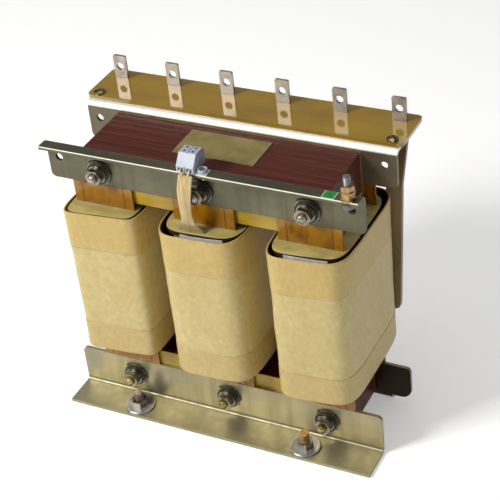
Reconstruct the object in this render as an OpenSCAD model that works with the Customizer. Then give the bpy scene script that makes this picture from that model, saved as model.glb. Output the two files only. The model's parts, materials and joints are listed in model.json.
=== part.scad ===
// Three-phase filter reactor: gapped laminated core, three wrapped coils, clamp frame, terminal board.
// Millimetres. X runs along the core, -Y is the front, where the clamp nuts show, and +Z is up.
// The origin lies on the floor, below the middle of the outer size.

/* [Core] */
// Distance between the middles of neighbouring limbs
limb_pitch = 92.5; // [90:0.5:110]
// Width of a limb
limb_w = 34; // [30:1:36]
// Depth of the lamination stack
stack_d = 61; // [55:1:70]
// Height of each yoke
yoke_h = 36; // [32:1:44]
// Gap between the floor and the underside of the core
core_lift = 6; // [4:0.5:10]
// Iron blocks in each limb
limb_blocks = 3; // [1:1:5]
// Gap between the lower yoke and the coils
coil_gap_low = 18; // [14:0.5:22]
// Gap between the coils and the upper yoke
coil_gap_high = 11.5; // [10:0.5:20]
// Thickness of the plate in each air gap
air_gap_t = 2.5; // [1:0.5:4]
// Packets of laminations in the stack
packets = 13; // [2:1:24]
// Width of the groove between two packets
groove_w = 0.7; // [0.3:0.1:1]
// Depth of the grooves in the yokes' outer faces
groove_d = 0.5; // [0.2:0.1:1]
// Length, width and thickness of the bare nameplate
nameplate = [72.5, 36, 0.5];
// Middle of the nameplate on the core, along X and Y
nameplate_at = [1.5, 5];

/* [Clamps] */
// Thickness of the folded clamp sheet
clamp_t = 3; // [2:0.5:4]
// Inner radius of the folds
bend_r = 3; // [1.5:0.5:4]
// Length of the top clamps
clamp_l = 280; // [275:1:320]
// Height of the top clamps
clamp_h = 35; // [32:1:38]
// Width of the top flange, over the plate
clamp_leg = 14.5; // [12:0.5:18]
// Rise of the top flange over the core
clamp_rise = 6; // [4:0.5:9]
// Length of the bottom clamps
foot_l = 287; // [280:1:320]
// Height of the bottom clamps
foot_h = 39; // [37:0.5:42]
// Width of the foot flange, over the plate
foot_leg = 34; // [32:0.5:40]
// Length cut from each end of the rear foot flange
foot_relief = 18; // [12:1:24]
// Corner radius of the plates' free edges
plate_corner_r = 4.5; // [2:0.5:8]
// Corner radius where the rear foot flange is cut back
relief_corner_r = 10; // [4:0.5:14]
// Diameter of the end holes in the top clamps
end_hole_d = 7; // [5:0.5:9]
// Distance of an end hole from the clamp's end
end_hole_inset = 10.5; // [8:0.5:14]
// Distance of an end hole below the top flange
end_hole_drop = 15; // [12:0.5:20]

/* [Insulation] */
// Thickness of the yellow strips between clamps and yokes
strip_t = 1; // [0.5:0.1:2]
// Reach of the strips past the yokes, into the window
strip_over = 7.5; // [4:0.5:9]
// Wall of the coil formers
former_t = 1.5; // [1:0.1:2]
// Play between a limb and its former
former_play = 0.5; // [0.3:0.1:1]
// Width of the flap boards at the coil ends
flap_w = 55; // [44:1:60]
// Thickness of the flap boards
flap_t = 1.4; // [0.8:0.1:2]

/* [Coils] */
// Outer width of the coils: left, middle and right
coil_widths = [68.6, 75, 69.6];
// Outer depth of the coils: left, middle and right
coil_depths = [106, 118, 116];
// Squareness of the coils' outlines, 2 for an ellipse: left, middle and right
squareness = [9, 5, 5.5];
// Slant of the coils' fronts, as a share of their width: left, middle and right
slant_shares = [0.09, 0.05, 0.1];
// Sideways set of the wraps from the middles of their limbs: left, middle and right
wrap_sets = [1.6, 0.2, 1.4];
// Height of a coil
coil_h = 142.5; // [120:0.5:160]
// Thickness of the outer wrap
wrap_t = 1.4; // [0.8:0.1:2]
// Thickness of the end ring at the top and bottom of a winding
end_ring_t = 4.5; // [3:0.5:8]
// Depth of the end rings, over both sides
end_ring_d = 98; // [96:0.5:100]
// Gap between the end rings and the sides of their wraps
ring_play = 0.6; // [0.3:0.1:1]
// Drop of the end rings below the rim of the wrap
rim_drop = 1.6; // [0.5:0.1:4]
// Turns of foil in a winding
foil_turns = 8; // [4:1:9]
// Thickness of one turn of foil with its film
foil_t = 0.8; // [0.5:0.1:0.9]
// Corner radius of the innermost turn
foil_corner_r = 4; // [2:0.5:6]
// Radial build of a winding
winding_build = 11.5; // [11:0.1:11.5]
// Width of a duct stick
stick_w = 5; // [3:0.5:6]
// Thickness of a duct stick
stick_t = 4; // [2:0.1:4]
// Distance of the duct sticks from the middle of the coil
stick_x = 18.5; // [18.5:0.1:20]

/* [Clamp bolts] */
// Diameter of the bolts
bolt_d = 8; // [6:0.5:8]
// Width of the nuts and heads across the flats
bolt_af = 13; // [12:0.5:14]
// Height of a nut
nut_h = 5; // [4.5:0.5:7]
// Height of a bolt head
head_h = 5.3; // [4:0.1:6]
// Reach of a bolt past its nut
bolt_reach = 4.2; // [3:0.1:5]
// Radius of the domed bolt ends
bolt_dome_r = 5; // [4.5:0.1:8]
// Sideways and upward set of the lower bolts from the middles of the limbs and the yoke
low_bolt_set = [1.8, -1];
// Sideways and upward set of the upper bolts from the middles of the limbs and the yoke
high_bolt_set = [0.6, 2];
// Diameter of the hole for the insulated bolts
bolt_hole_d = 11; // [10.8:0.1:12]
// Outer diameter of the insulating sleeves
bolt_sleeve_d = 10.4; // [9.5:0.1:10.6]
// Side of the square insulating plates
square_w = 17; // [15:0.5:19]
// Thickness of the square insulating plates
square_t = 1; // [0.5:0.1:2]
// Diameter of the plate washers on the insulating plates
plate_washer_d = 21.5; // [20:0.5:24]
// Diameter of the round insulating washers
ins_washer_d = 20; // [17:0.5:20]
// Thickness of the round insulating washers
ins_washer_t = 1.2; // [0.8:0.1:2]
// Diameter of the washers under nuts and heads
washer_d = 16; // [14.5:0.5:17]
// Thickness of the steel washers
washer_t = 1.5; // [1:0.1:2]
// Outer diameter of the split lock washers
lock_washer_d = 13.6; // [12.5:0.1:14]
// Thickness of the split lock washers
lock_washer_t = 1.6; // [1:0.1:2.5]

/* [Foot studs] */
// Distance of a foot stud from the middle, along the foot
foot_stud_x = 80; // [70:0.5:84]
// Distance of a foot stud from the inner face of the plate
foot_stud_out = 20.5; // [19.5:0.5:21]
// Diameter of the flush head in the foot
foot_head_d = 12; // [10:0.5:14]
// Thickness of the flush head
foot_head_t = 1.2; // [0.8:0.1:2]
// Diameter of the wide foot washers
foot_washer_d = 24; // [20:0.5:26]
// Thickness of the wide foot washers
foot_washer_t = 2; // [1:0.1:3]
// Reach of a foot stud above its nut
foot_stud_reach = 9; // [4:0.5:12]

/* [Earth stud] */
// Distance of the earth stud from the front top clamp's end
earth_inset = 9.5; // [9:0.5:14]
// Diameter of the earth stud
earth_d = 6; // [5:0.5:6]
// Width of the earth nuts across the flats
earth_af = 10; // [8:0.5:11]
// Height of an earth nut
earth_nut_h = 5; // [3:0.5:6]
// Height of the head under the flange
earth_head_h = 4; // [3:0.5:5]
// Diameter of the earth washers
earth_washer_d = 12; // [10:0.5:12]
// Reach of the earth stud above its upper nut
earth_reach = 7; // [4:0.5:10]

/* [Terminal board] */
// Length of the board
board_l = 286; // [280:1:320]
// Width of the board
board_w = 47.3; // [44:0.5:56]
// Thickness of the board
board_t = 3; // [2:0.5:5]
// Corner radius of the board
board_corner_r = 5; // [2:0.5:8]
// Distance of the board's front edge from the rear clamp's inner face
board_set = 5.2; // [4:0.1:5.5]
// Distance of a board screw from the rear top clamp's end
board_screw_inset = 7; // [6:0.5:8]
// Diameter of the board screws
board_screw_d = 5; // [4:0.5:5]
// Diameter of a board screw's head
board_screw_head_d = 9.5; // [8:0.5:10]
// Height of a board screw's head
board_screw_head_h = 3.2; // [2:0.1:4]
// Width of the board nuts across the flats
board_nut_af = 8; // [7:0.5:9]
// Height of a board nut
board_nut_h = 4; // [3:0.5:5]

/* [Terminals] */
// Distance between neighbouring terminals
tab_pitch = 51; // [50:0.5:51]
// Height of the terminals above the board
tab_h = 21; // [18:0.5:30]
// Distance of the terminals' middle from the board's rear edge
tab_set = 12; // [10:0.5:14]
// Corner radius at the top of a terminal
tab_corner_r = 1.2; // [0.5:0.1:3]
// Diameter of the connection hole
tab_hole_d = 7; // [5:0.5:8]
// Distance of the connection hole below the top of the terminal
tab_hole_drop = 10; // [8:0.5:12]
// Play of a terminal in its slot in the board
slot_play = 0.2; // [0.1:0.05:0.3]

/* [Leads] */
// Width of a lead bar
lead_w = 12; // [8:0.5:12]
// Thickness of a lead bar
lead_t = 2.5; // [1.5:0.1:3]
// Wall of the sleeve on a lead bar
lead_sleeve_t = 0.8; // [0.5:0.1:1]
// Play between a lead bar and its sleeve
lead_play = 0.1; // [0.05:0.05:0.2]
// Rise of the leads' lower ends over the coils' undersides
lead_rise = 20.5; // [16:0.5:40]
// Rise over the coils' tops where the leads begin to bend to their slots
lead_bend_rise = 3.5; // [2:0.5:12]
// Drop below the board where the leads are under their slots
lead_bend_drop = 10; // [8:0.5:16]
// Inward lean of the outermost leads, over their length
lead_lean = 8.3; // [3:0.1:9]
// Drop below the board where the lean begins
lead_lean_drop = 6; // [6:0.5:16]
// Radius of the rounded lower end of a lead bar
lead_end_r = 4.5; // [2:0.5:5]
// Bare length of a lead bar below the board
lead_bare = 4; // [3:0.5:8]

/* [Thermal switch] */
// Middle of the terminal block along X
block_x = -3.5; // [-9:0.5:-3]
// Width of the terminal block
block_w = 15; // [14:0.5:17]
// Depth of the terminal block at its top
block_top_d = 13; // [12:0.5:15]
// Reach of the block's lower front past its top
block_slope_d = 7; // [4:0.5:8]
// Height of the slope in the block's front
block_slope_h = 9; // [6:0.5:10]
// Height of the terminal block on its foot
block_h = 14; // [13:0.5:16]
// Distance of the block's rear face from the clamp's inner face, over the core
block_over = 4; // [3:0.5:6]
// Thickness of the block's foot
block_foot_t = 1; // [0.8:0.1:2]
// Reach of the block's foot past the block
block_foot_over = 10; // [9:0.5:12]
// Width of the cloth sleeve
cloth_w = 12; // [9:0.5:12]
// Width of the cloth sleeve where it spreads over the coil
cloth_foot_w = 23; // [14:0.5:24]
// Thickness of the cloth sleeve
cloth_t = 3.4; // [2.5:0.1:3.4]
// Gap between the winding and the cloth sleeve
cloth_gap = 3; // [0.3:0.1:4]
// Reach of the cloth sleeve into the coil, below the end ring's top
cloth_dip = 14.9; // [10:0.1:40]
// Diameter of a sensor wire
wire_d = 1.8; // [1:0.1:2.4]
// Width, thickness and height of the thermal switch
switch_size = [8, 3, 15];

/* [Hidden] */
$fn = 48;
// Overrun of every cut past the face that it opens
over = 1;
// Gap between pieces that lie against each other without being fixed
play = 0.3;
// Radial play of a washer, nut or plate on its bolt
bolt_play = 0.1;
// Chamfer of nuts and heads
hex_chamfer = 0.8;
// Points in a wrapped outline, and in each rounded corner of the foil
outline_points = 56;
corner_points = 5;

core_l = 2 * limb_pitch + limb_w;
window_low = core_lift + yoke_h;
coil_z = window_low + coil_gap_low;
coil_top = coil_z + coil_h;
window_high = coil_top + coil_gap_high;
window_h = window_high - window_low;
core_top = window_high + yoke_h;
stack_half = stack_d / 2;
limb_xs = [-limb_pitch, 0, limb_pitch];
limb_block_h = (window_h - (limb_blocks + 1) * air_gap_t) / limb_blocks;

// Distances from the middle of the core to the faces of the clamps
clamp_in = stack_half + strip_t;
clamp_out = clamp_in + clamp_t;
flange_edge = clamp_in + clamp_leg;
flange_flat = clamp_out + bend_r;
flange_mid = (flange_edge + flange_flat) / 2;
flange_z = core_top + clamp_rise;
clamp_low = flange_z - clamp_h;
foot_edge = clamp_in + foot_leg;
low_bolt_z = core_lift + yoke_h / 2 + low_bolt_set.y;
high_bolt_z = core_top - yoke_h / 2 + high_bolt_set.y;
low_bolts = [for (x = limb_xs) [x + low_bolt_set.x, low_bolt_z]];
high_bolts = [for (x = limb_xs) [x + high_bolt_set.x, high_bolt_z]];
end_hole_x = clamp_l / 2 - end_hole_inset;
end_hole_z = flange_z - end_hole_drop;
earth_x = clamp_l / 2 - earth_inset;
board_screw_x = clamp_l / 2 - board_screw_inset;

// Board, tabs and leads, measured from the middle of the core
board_front = clamp_in + board_set;
board_back = board_front + board_w;
board_top = flange_z + board_t;
tab_y = board_back - tab_set;
tab_top = board_top + tab_h;
tab_xs = [for (i = [-2.5:2.5]) i * tab_pitch];
lead_coils = [0, 0, 1, 1, 2, 2];
sleeve_t = lead_t + 2 * (lead_play + lead_sleeve_t);
sleeve_w = lead_w + 2 * (lead_play + lead_sleeve_t);
sleeve_top = flange_z - lead_bare;
lead_low = coil_z + lead_rise;
lead_bend_low = coil_top + lead_bend_rise;
lead_bend_high = flange_z - lead_bend_drop;
lead_lean_z = flange_z - lead_lean_drop;

// The core stands off the origin, which is below the middle of the outer size
core_y = (foot_edge - board_back) / 2;

// Stack of pieces on a clamp bolt, each value where the next piece begins
square_out = clamp_out + square_t;
plate_out = square_out + washer_t;
ins_out = plate_out + ins_washer_t;
washer_out = ins_out + washer_t;
lock_out = washer_out + lock_washer_t;
nut_out = lock_out + nut_h;

// Formers and windings, as half widths and half depths
former_in = [limb_w / 2 + former_play, clamp_in];
former_out = [for (v = former_in) v + former_t];
former_low = window_low + strip_over + play;
former_high = window_high - strip_over - play;
foil_in = [for (v = former_out) v + play];
foil_pitch = (winding_build - foil_t) / foil_turns;
rings_low = coil_z + rim_drop;
rings_high = coil_top - rim_drop;
foil_low = rings_low + end_ring_t;
foil_high = rings_high - end_ring_t;
stick_y = foil_in.y + winding_build + play;

// Foot studs
foot_stud_y = clamp_in + foot_stud_out;
foot_washer_top = clamp_t + foot_washer_t;
foot_nut_top = foot_washer_top + nut_h;

// Earth stud, from the flange up
earth_washer_t = washer_t;
earth_nut1 = flange_z + earth_washer_t;
earth_washer2 = earth_nut1 + earth_nut_h;
earth_nut2 = earth_washer2 + earth_washer_t;
earth_top = earth_nut2 + earth_nut_h + earth_reach;

// Terminal block, as distances from the middle of the core
block_back = clamp_in - block_over;
block_brow = block_back + block_top_d;
block_front = block_brow + block_slope_d;
block_low = flange_z + block_foot_t;
block_top = block_low + block_h;
pole_w = block_w / 2;
entry_w = 4.4;
entry_h = 3;
entry_d = 6;
entry_rise = 2.6;
entry_z = block_low + entry_rise;
pole_gap = 0.6;
driver_hole_d = 2.8;
driver_hole_deep = 5;
block_chamfer = 2.4;
block_screw_x = block_x + block_w / 2 + block_foot_over / 2;
block_screw_d = 3;
block_screw_head_d = 5.5;
block_screw_head_h = 2;

// Sleeve of the thermal switch: over the clamp bolt's end, then through a notch in the end ring
cloth_x = -6.5;
cloth_top_x = -2.5;
cloth_top_z = flange_z;
cloth_low_z = rings_high - cloth_dip;
cloth_low_w = 15;
cloth_y = foil_in.y + winding_build + cloth_gap + cloth_t / 2;
cloth_top_y = block_front + play + cloth_t / 2;
cloth_bolt_y = nut_out + bolt_reach + play + cloth_t / 2;
notch_half_w = cloth_foot_w / 2 + play;
notch_y = cloth_y - cloth_t / 2 - play;

// Shared building blocks
module on_core() { translate([0, core_y, 0]) children(); }
module front_side() { mirror([0, 1, 0]) children(); }
module both_sides() { children(); front_side() children(); }
module both_ends() { children(); mirror([1, 0, 0]) children(); }
module at_bolts(places = concat(low_bolts, high_bolts)) {
    for (p = places) translate([p.x, 0, p[1]]) children();
}
// A round bar along +Y, from one distance to another
module bar_y(d, from, to) { translate([0, from, 0]) rotate([-90, 0, 0]) cylinder(d = d, h = to - from); }
module ring_y(d, bore, from, to) {
    difference() {
        bar_y(d, from, to);
        bar_y(bore, from - over, to + over);
    }
}
module ring_z(d, bore, h) {
    difference() {
        cylinder(d = d, h = h);
        translate([0, 0, -over]) cylinder(d = bore, h = h + 2 * over);
    }
}
// A hexagon with both rims turned down, standing on its flat
module hex_block(af, h) {
    corner_d = af / cos(30);
    intersection() {
        cylinder(d = corner_d, h = h, $fn = 6);
        union() {
            cylinder(d1 = corner_d - 2 * hex_chamfer, d2 = corner_d, h = hex_chamfer / 2);
            translate([0, 0, hex_chamfer / 2]) cylinder(d = corner_d, h = h - hex_chamfer);
            translate([0, 0, h - hex_chamfer / 2])
                cylinder(d1 = corner_d, d2 = corner_d - 2 * hex_chamfer, h = hex_chamfer / 2);
        }
    }
}
module hex_nut(af, bore, h) {
    difference() {
        hex_block(af, h);
        translate([0, 0, -over]) cylinder(d = bore, h = h + 2 * over);
    }
}
// Points of a rectangle with swollen sides, by the superellipse formula. Its front slants: towards
// the front edge, every point moves back by that share of its distance to the right.
function swollen(hx, hy, n, slant_share) = [for (i = [0:outline_points - 1])
    let (a = 360 * i / outline_points, c = cos(a), s = sin(a),
        x = hx * sign(c) * pow(abs(c), 2 / n), y_share = sign(s) * pow(abs(s), 2 / n))
    [x, hy * y_share - min(y_share, 0) * slant_share * x]];
// Point k of a turn round a rectangle with round corners, swelled by e
function turn_point(half, r, e, k) = let (
    corner = floor(k / corner_points) % 4,
    step = k % corner_points,
    a = 90 * corner + 90 * step / (corner_points - 1),
    sx = (corner == 0 || corner == 3) ? 1 : -1,
    sy = corner < 2 ? 1 : -1)
    [sx * (half.x - r) + (r + e) * cos(a), sy * (half.y - r) + (r + e) * sin(a)];

// Core
module yoke(z, groove_z) {
    difference() {
        translate([-core_l / 2, -stack_half, z]) cube([core_l, stack_d, yoke_h]);
        for (i = [1:packets - 1])
            translate([-core_l / 2 - over, i * stack_d / packets - stack_half - groove_w / 2, groove_z])
                cube([core_l + 2 * over, groove_w, groove_d + over]);
        at_bolts() bar_y(bolt_hole_d, -stack_half - over, stack_half + over);
    }
}
module limb(x) {
    for (i = [0:limb_blocks - 1])
        translate([x - limb_w / 2, -stack_half, window_low + air_gap_t + i * (limb_block_h + air_gap_t)])
            cube([limb_w, stack_d, limb_block_h]);
}
module core_yoke_top() { color("saddlebrown") on_core() yoke(window_high, core_top - groove_d); }
module core_yoke_bottom() { color("saddlebrown") on_core() yoke(core_lift, core_lift - over); }
module core_limb_left() { color("saddlebrown") on_core() limb(limb_xs[0]); }
module core_limb_middle() { color("saddlebrown") on_core() limb(limb_xs[1]); }
module core_limb_right() { color("saddlebrown") on_core() limb(limb_xs[2]); }
module air_gap_plates() {
    color("khaki") on_core()
        for (x = limb_xs, i = [0:limb_blocks])
            translate([x - limb_w / 2, -stack_half, window_low + i * (limb_block_h + air_gap_t)])
                cube([limb_w, stack_d, air_gap_t]);
}
module nameplate_blank() {
    color("khaki") on_core()
        translate([nameplate_at.x - nameplate.x / 2, nameplate_at.y - nameplate.y / 2, core_top])
            cube(nameplate);
}

// Clamps, folded from sheet: section of an angle with its plate along Y2D and its flange along X2D
module angle_section(leg, h) {
    fold_r = clamp_t + bend_r;
    difference() {
        union() {
            square([clamp_t, h]);
            square([leg, clamp_t]);
            square([fold_r, fold_r]);
        }
        translate([fold_r, fold_r]) circle(r = bend_r);
        difference() {
            square([fold_r, fold_r]);
            translate([fold_r, fold_r]) circle(r = fold_r);
        }
    }
}
module angle_bar(l, leg, h) {
    translate([-l / 2, clamp_in, 0]) rotate([90, 0, 90]) linear_extrude(height = l) angle_section(leg, h);
}
// What rounds off a corner that points to -X and -Z
module corner_cut(r) {
    rotate([90, 0, 0]) linear_extrude(height = 2 * foot_edge + 2 * over, center = true) difference() {
        translate([-over, -over]) square([r + over, r + over]);
        translate([r, r]) circle(r = r);
    }
}
module top_clamp(extra_holes = false) {
    difference() {
        translate([0, 0, flange_z]) mirror([0, 0, 1]) angle_bar(clamp_l, clamp_leg, clamp_h);
        both_ends() {
            translate([-clamp_l / 2, 0, clamp_low]) corner_cut(plate_corner_r);
            translate([end_hole_x, 0, end_hole_z]) bar_y(end_hole_d, clamp_in - over, clamp_out + over);
        }
        at_bolts(high_bolts) bar_y(bolt_hole_d, clamp_in - over, clamp_out + over);
    }
}
module bottom_clamp() {
    difference() {
        angle_bar(foot_l, foot_leg, foot_h);
        both_ends() {
            translate([-foot_l / 2, 0, foot_h]) mirror([0, 0, 1]) corner_cut(plate_corner_r);
            translate([foot_stud_x, foot_stud_y, 0]) {
                translate([0, 0, -over]) cylinder(d = bolt_d + 2 * bolt_play, h = clamp_t + 2 * over);
                translate([0, 0, -over]) cylinder(d = foot_head_d + 2 * bolt_play, h = foot_head_t + over);
            }
        }
        at_bolts(low_bolts) bar_y(bolt_hole_d, clamp_in - over, clamp_out + over);
    }
}
module clamp_top_front() {
    color("darkkhaki") on_core() difference() {
        front_side() top_clamp();
        translate([earth_x, -flange_mid, flange_z - clamp_t - over])
            cylinder(d = earth_d + 2 * bolt_play, h = clamp_t + 2 * over);
        translate([block_screw_x, -flange_mid, flange_z - clamp_t - over])
            cylinder(d = block_screw_d + 2 * bolt_play, h = clamp_t + 2 * over);
    }
}
module clamp_top_rear() {
    color("darkkhaki") on_core() difference() {
        top_clamp();
        both_ends() translate([board_screw_x, flange_mid, flange_z - clamp_t - over])
            cylinder(d = board_screw_d + 2 * bolt_play, h = clamp_t + 2 * over);
    }
}
module clamp_bottom_front() { color("darkkhaki") on_core() front_side() bottom_clamp(); }
module clamp_bottom_rear() {
    relief_z = clamp_t + bend_r;
    color("darkkhaki") on_core() difference() {
        bottom_clamp();
        both_ends() {
            translate([foot_l / 2 - foot_relief, clamp_in - over, -over])
                cube([foot_relief + over, foot_leg + 2 * over, relief_z + over]);
            translate([-foot_l / 2, 0, relief_z]) corner_cut(relief_corner_r);
        }
    }
}

// Insulation between the clamps and the yokes
module strip(z) {
    difference() {
        translate([-core_l / 2, stack_half, z]) cube([core_l, strip_t, yoke_h + strip_over]);
        at_bolts() bar_y(bolt_hole_d, stack_half - over, clamp_in + over);
    }
}
module strip_top_front() { color("gold") on_core() front_side() strip(window_high - strip_over); }
module strip_top_rear() { color("gold") on_core() strip(window_high - strip_over); }
module strip_bottom_front() { color("gold") on_core() front_side() strip(core_lift); }
module strip_bottom_rear() { color("gold") on_core() strip(core_lift); }

// Coil formers: a box round each limb
module coil_former(x) {
    difference() {
        translate([x - former_out.x, -former_out.y, former_low])
            cube([2 * former_out.x, 2 * former_out.y, former_high - former_low]);
        translate([x - former_in.x, -former_in.y, former_low - over])
            cube([2 * former_in.x, 2 * former_in.y, former_high - former_low + 2 * over]);
    }
}
module coil_former_left() { color("peru") on_core() coil_former(limb_xs[0]); }
module coil_former_middle() { color("peru") on_core() coil_former(limb_xs[1]); }
module coil_former_right() { color("peru") on_core() coil_former(limb_xs[2]); }

// Flap boards: insulation that stands on the coil ends, against the former, up to the clamps
module flap_boards(x) {
    both_sides() {
        translate([x - flap_w / 2, former_out.y, rings_high])
            cube([flap_w, flap_t, clamp_low - play - rings_high]);
        translate([x - flap_w / 2, former_out.y, foot_h + play])
            cube([flap_w, flap_t, rings_low - foot_h - play]);
    }
}
module flap_boards_left() { color("darkorange") on_core() flap_boards(limb_xs[0]); }
module flap_boards_middle() { color("darkorange") on_core() flap_boards(limb_xs[1]); }
module flap_boards_right() { color("darkorange") on_core() flap_boards(limb_xs[2]); }

// Foil winding: one unbroken ribbon wound outwards round the former
module foil_winding(x) {
    per_turn = 4 * corner_points;
    count = foil_turns * per_turn;
    inner = [for (k = [0:count]) turn_point(foil_in, foil_corner_r, foil_pitch * k / per_turn, k)];
    outer = [for (k = [0:count]) turn_point(foil_in, foil_corner_r, foil_t + foil_pitch * k / per_turn, k)];
    translate([x, 0, foil_low]) linear_extrude(height = foil_high - foil_low)
        polygon(concat(outer, [for (k = [count:-1:0]) inner[k]]));
}
echo(least_gap_between_turns = foil_pitch - foil_t);
module foil_winding_left() { color("silver") on_core() foil_winding(limb_xs[0]); }
module foil_winding_middle() { color("silver") on_core() foil_winding(limb_xs[1]); }
module foil_winding_right() { color("silver") on_core() foil_winding(limb_xs[2]); }

// End rings: cast insulation that closes the winding at both ends and carries the wrap
module end_ring(i, z) {
    half_w = coil_widths[i] / 2 - wrap_t - ring_play;
    translate([limb_xs[i], 0, z]) linear_extrude(height = end_ring_t) difference() {
        translate([wrap_sets[i], 0])
            polygon(swollen(half_w, end_ring_d / 2, squareness[i], slant_shares[i]));
        square([2 * foil_in.x, 2 * foil_in.y], center = true);
    }
}
module end_rings(i) {
    end_ring(i, rings_low);
    end_ring(i, rings_high - end_ring_t);
}
module end_rings_left() { color("wheat") on_core() end_rings(0); }
// The middle coil's upper ring has a notch in its front for the thermal switch's lead
module end_rings_middle() {
    color("wheat") on_core() difference() {
        end_rings(1);
        translate([cloth_x - notch_half_w, -coil_depths[1] / 2, rings_high - end_ring_t - over])
            cube([2 * notch_half_w, coil_depths[1] / 2 - notch_y, end_ring_t + 2 * over]);
    }
}
module end_rings_right() { color("wheat") on_core() end_rings(2); }
module duct_sticks() {
    color("tan") on_core() for (x = limb_xs) both_sides() for (side = [-1, 1])
        translate([x + side * stick_x - stick_w / 2, stick_y, foil_low])
            cube([stick_w, stick_t, foil_high - foil_low]);
}
module coil_wrap(i) {
    half = [coil_widths[i] / 2, coil_depths[i] / 2];
    translate([limb_xs[i] + wrap_sets[i], 0, coil_z]) linear_extrude(height = coil_h) difference() {
        polygon(swollen(half.x, half.y, squareness[i], slant_shares[i]));
        polygon(swollen(half.x - wrap_t, half.y - wrap_t, squareness[i], slant_shares[i]));
    }
}
module coil_wrap_left() { color("antiquewhite") on_core() coil_wrap(0); }
module coil_wrap_middle() { color("antiquewhite") on_core() coil_wrap(1); }
module coil_wrap_right() { color("antiquewhite") on_core() coil_wrap(2); }

// Insulated clamp bolts: heads at the rear, nuts at the front
module clamp_bolt() {
    tip = nut_out + bolt_reach;
    intersection() {
        bar_y(bolt_d, -tip, washer_out + head_h / 2);
        union() {
            translate([0, bolt_dome_r - tip, 0]) sphere(r = bolt_dome_r);
            bar_y(2 * bolt_dome_r, bolt_dome_r - tip, washer_out + head_h);
        }
    }
    translate([0, washer_out, 0]) rotate([-90, 0, 0]) hex_block(bolt_af, head_h);
}
module clamp_bolts_top() { color("darkgoldenrod") on_core() at_bolts(high_bolts) clamp_bolt(); }
module clamp_bolts_bottom() { color("darkgoldenrod") on_core() at_bolts(low_bolts) clamp_bolt(); }
module bolt_sleeves() {
    color("ivory") on_core() at_bolts() ring_y(bolt_sleeve_d, bolt_d + 2 * bolt_play, -clamp_out, clamp_out);
}
module clamp_nuts() {
    color("gainsboro") on_core() at_bolts() front_side() translate([0, lock_out, 0])
        rotate([-90, 0, 0]) hex_nut(bolt_af, bolt_d + 2 * bolt_play, nut_h);
}
module lock_washers() {
    split_w = lock_washer_t / 2;
    color("silver") on_core() at_bolts() front_side() difference() {
        ring_y(lock_washer_d, bolt_d + 2 * bolt_play, washer_out, lock_out);
        translate([0, washer_out - over, -split_w / 2])
            cube([lock_washer_d, lock_washer_t + 2 * over, split_w]);
    }
}
module steel_washers() {
    color("silver") on_core() at_bolts() both_sides()
        ring_y(washer_d, bolt_d + 2 * bolt_play, ins_out, washer_out);
}
module insulating_washers() {
    color("dimgray") on_core() at_bolts() both_sides()
        ring_y(ins_washer_d, bolt_d + 2 * bolt_play, plate_out, ins_out);
}
module plate_washers() {
    color("darkgray") on_core() at_bolts() both_sides()
        ring_y(plate_washer_d, bolt_hole_d, square_out, plate_out);
}
module insulating_squares() {
    color("black") on_core() at_bolts() both_sides() difference() {
        translate([-square_w / 2, clamp_out, -square_w / 2]) cube([square_w, square_t, square_w]);
        bar_y(bolt_d + 2 * bolt_play, clamp_out - over, square_out + over);
    }
}

// Foot studs: pressed into the feet from below, their heads flush with the underside
module at_foot_studs() { both_sides() both_ends() translate([foot_stud_x, foot_stud_y, 0]) children(); }
module foot_studs() {
    color("silver") on_core() at_foot_studs() {
        cylinder(d = foot_head_d, h = foot_head_t);
        cylinder(d = bolt_d, h = foot_nut_top + foot_stud_reach);
    }
}
module foot_washers() {
    color("gainsboro") on_core() at_foot_studs() translate([0, 0, clamp_t])
        ring_z(foot_washer_d, bolt_d + 2 * bolt_play, foot_washer_t);
}
module foot_nuts() {
    color("silver") on_core() at_foot_studs() translate([0, 0, foot_washer_top])
        hex_nut(bolt_af, bolt_d + 2 * bolt_play, nut_h);
}

// Earth stud on the front flange
module at_earth(z) { translate([earth_x, -flange_mid, z]) children(); }
module earth_stud() {
    color("gainsboro") on_core() at_earth(flange_z - clamp_t - earth_head_h) {
        hex_block(earth_af, earth_head_h);
        cylinder(d = earth_d, h = earth_top - flange_z + clamp_t + earth_head_h);
    }
}
module earth_washers() {
    color("goldenrod") on_core() for (z = [flange_z, earth_washer2])
        at_earth(z) ring_z(earth_washer_d, earth_d + 2 * bolt_play, earth_washer_t);
}
module earth_nuts() {
    color("goldenrod") on_core() for (z = [earth_nut1, earth_nut2])
        at_earth(z) hex_nut(earth_af, earth_d + 2 * bolt_play, earth_nut_h);
}

// Terminal board on the rear flange
module rounded_plate(l, w, r) {
    translate([-l / 2 + r, 0]) square([l - 2 * r, w]);
    translate([-l / 2, r]) square([l, w - 2 * r]);
    for (x = [-1, 1], y = [r, w - r]) translate([x * (l / 2 - r), y]) circle(r = r);
}
module terminal_board() {
    color("goldenrod") on_core() translate([0, 0, flange_z]) difference() {
        translate([0, board_front, 0]) linear_extrude(height = board_t)
            rounded_plate(board_l, board_w, board_corner_r);
        both_ends() translate([board_screw_x, flange_mid, -over])
            cylinder(d = board_screw_d + 2 * bolt_play, h = board_t + 2 * over);
        for (x = tab_xs)
            translate([x - lead_w / 2 - slot_play, tab_y - lead_t / 2 - slot_play, -over])
                cube([lead_w + 2 * slot_play, lead_t + 2 * slot_play, board_t + 2 * over]);
    }
}
module at_board_screws(z) { both_ends() translate([board_screw_x, flange_mid, z]) children(); }
module board_screws() {
    nut_low = flange_z - clamp_t - board_screw_d;
    dome_r = board_screw_head_d / 2;
    color("gainsboro") on_core() {
        at_board_screws(nut_low)
            cylinder(d = board_screw_d, h = board_top - nut_low + board_screw_head_h / 2);
        at_board_screws(board_top) intersection() {
            cylinder(r = dome_r, h = board_screw_head_h);
            translate([0, 0, board_screw_head_h - dome_r * 2]) sphere(r = dome_r * 2);
        }
    }
}
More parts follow.
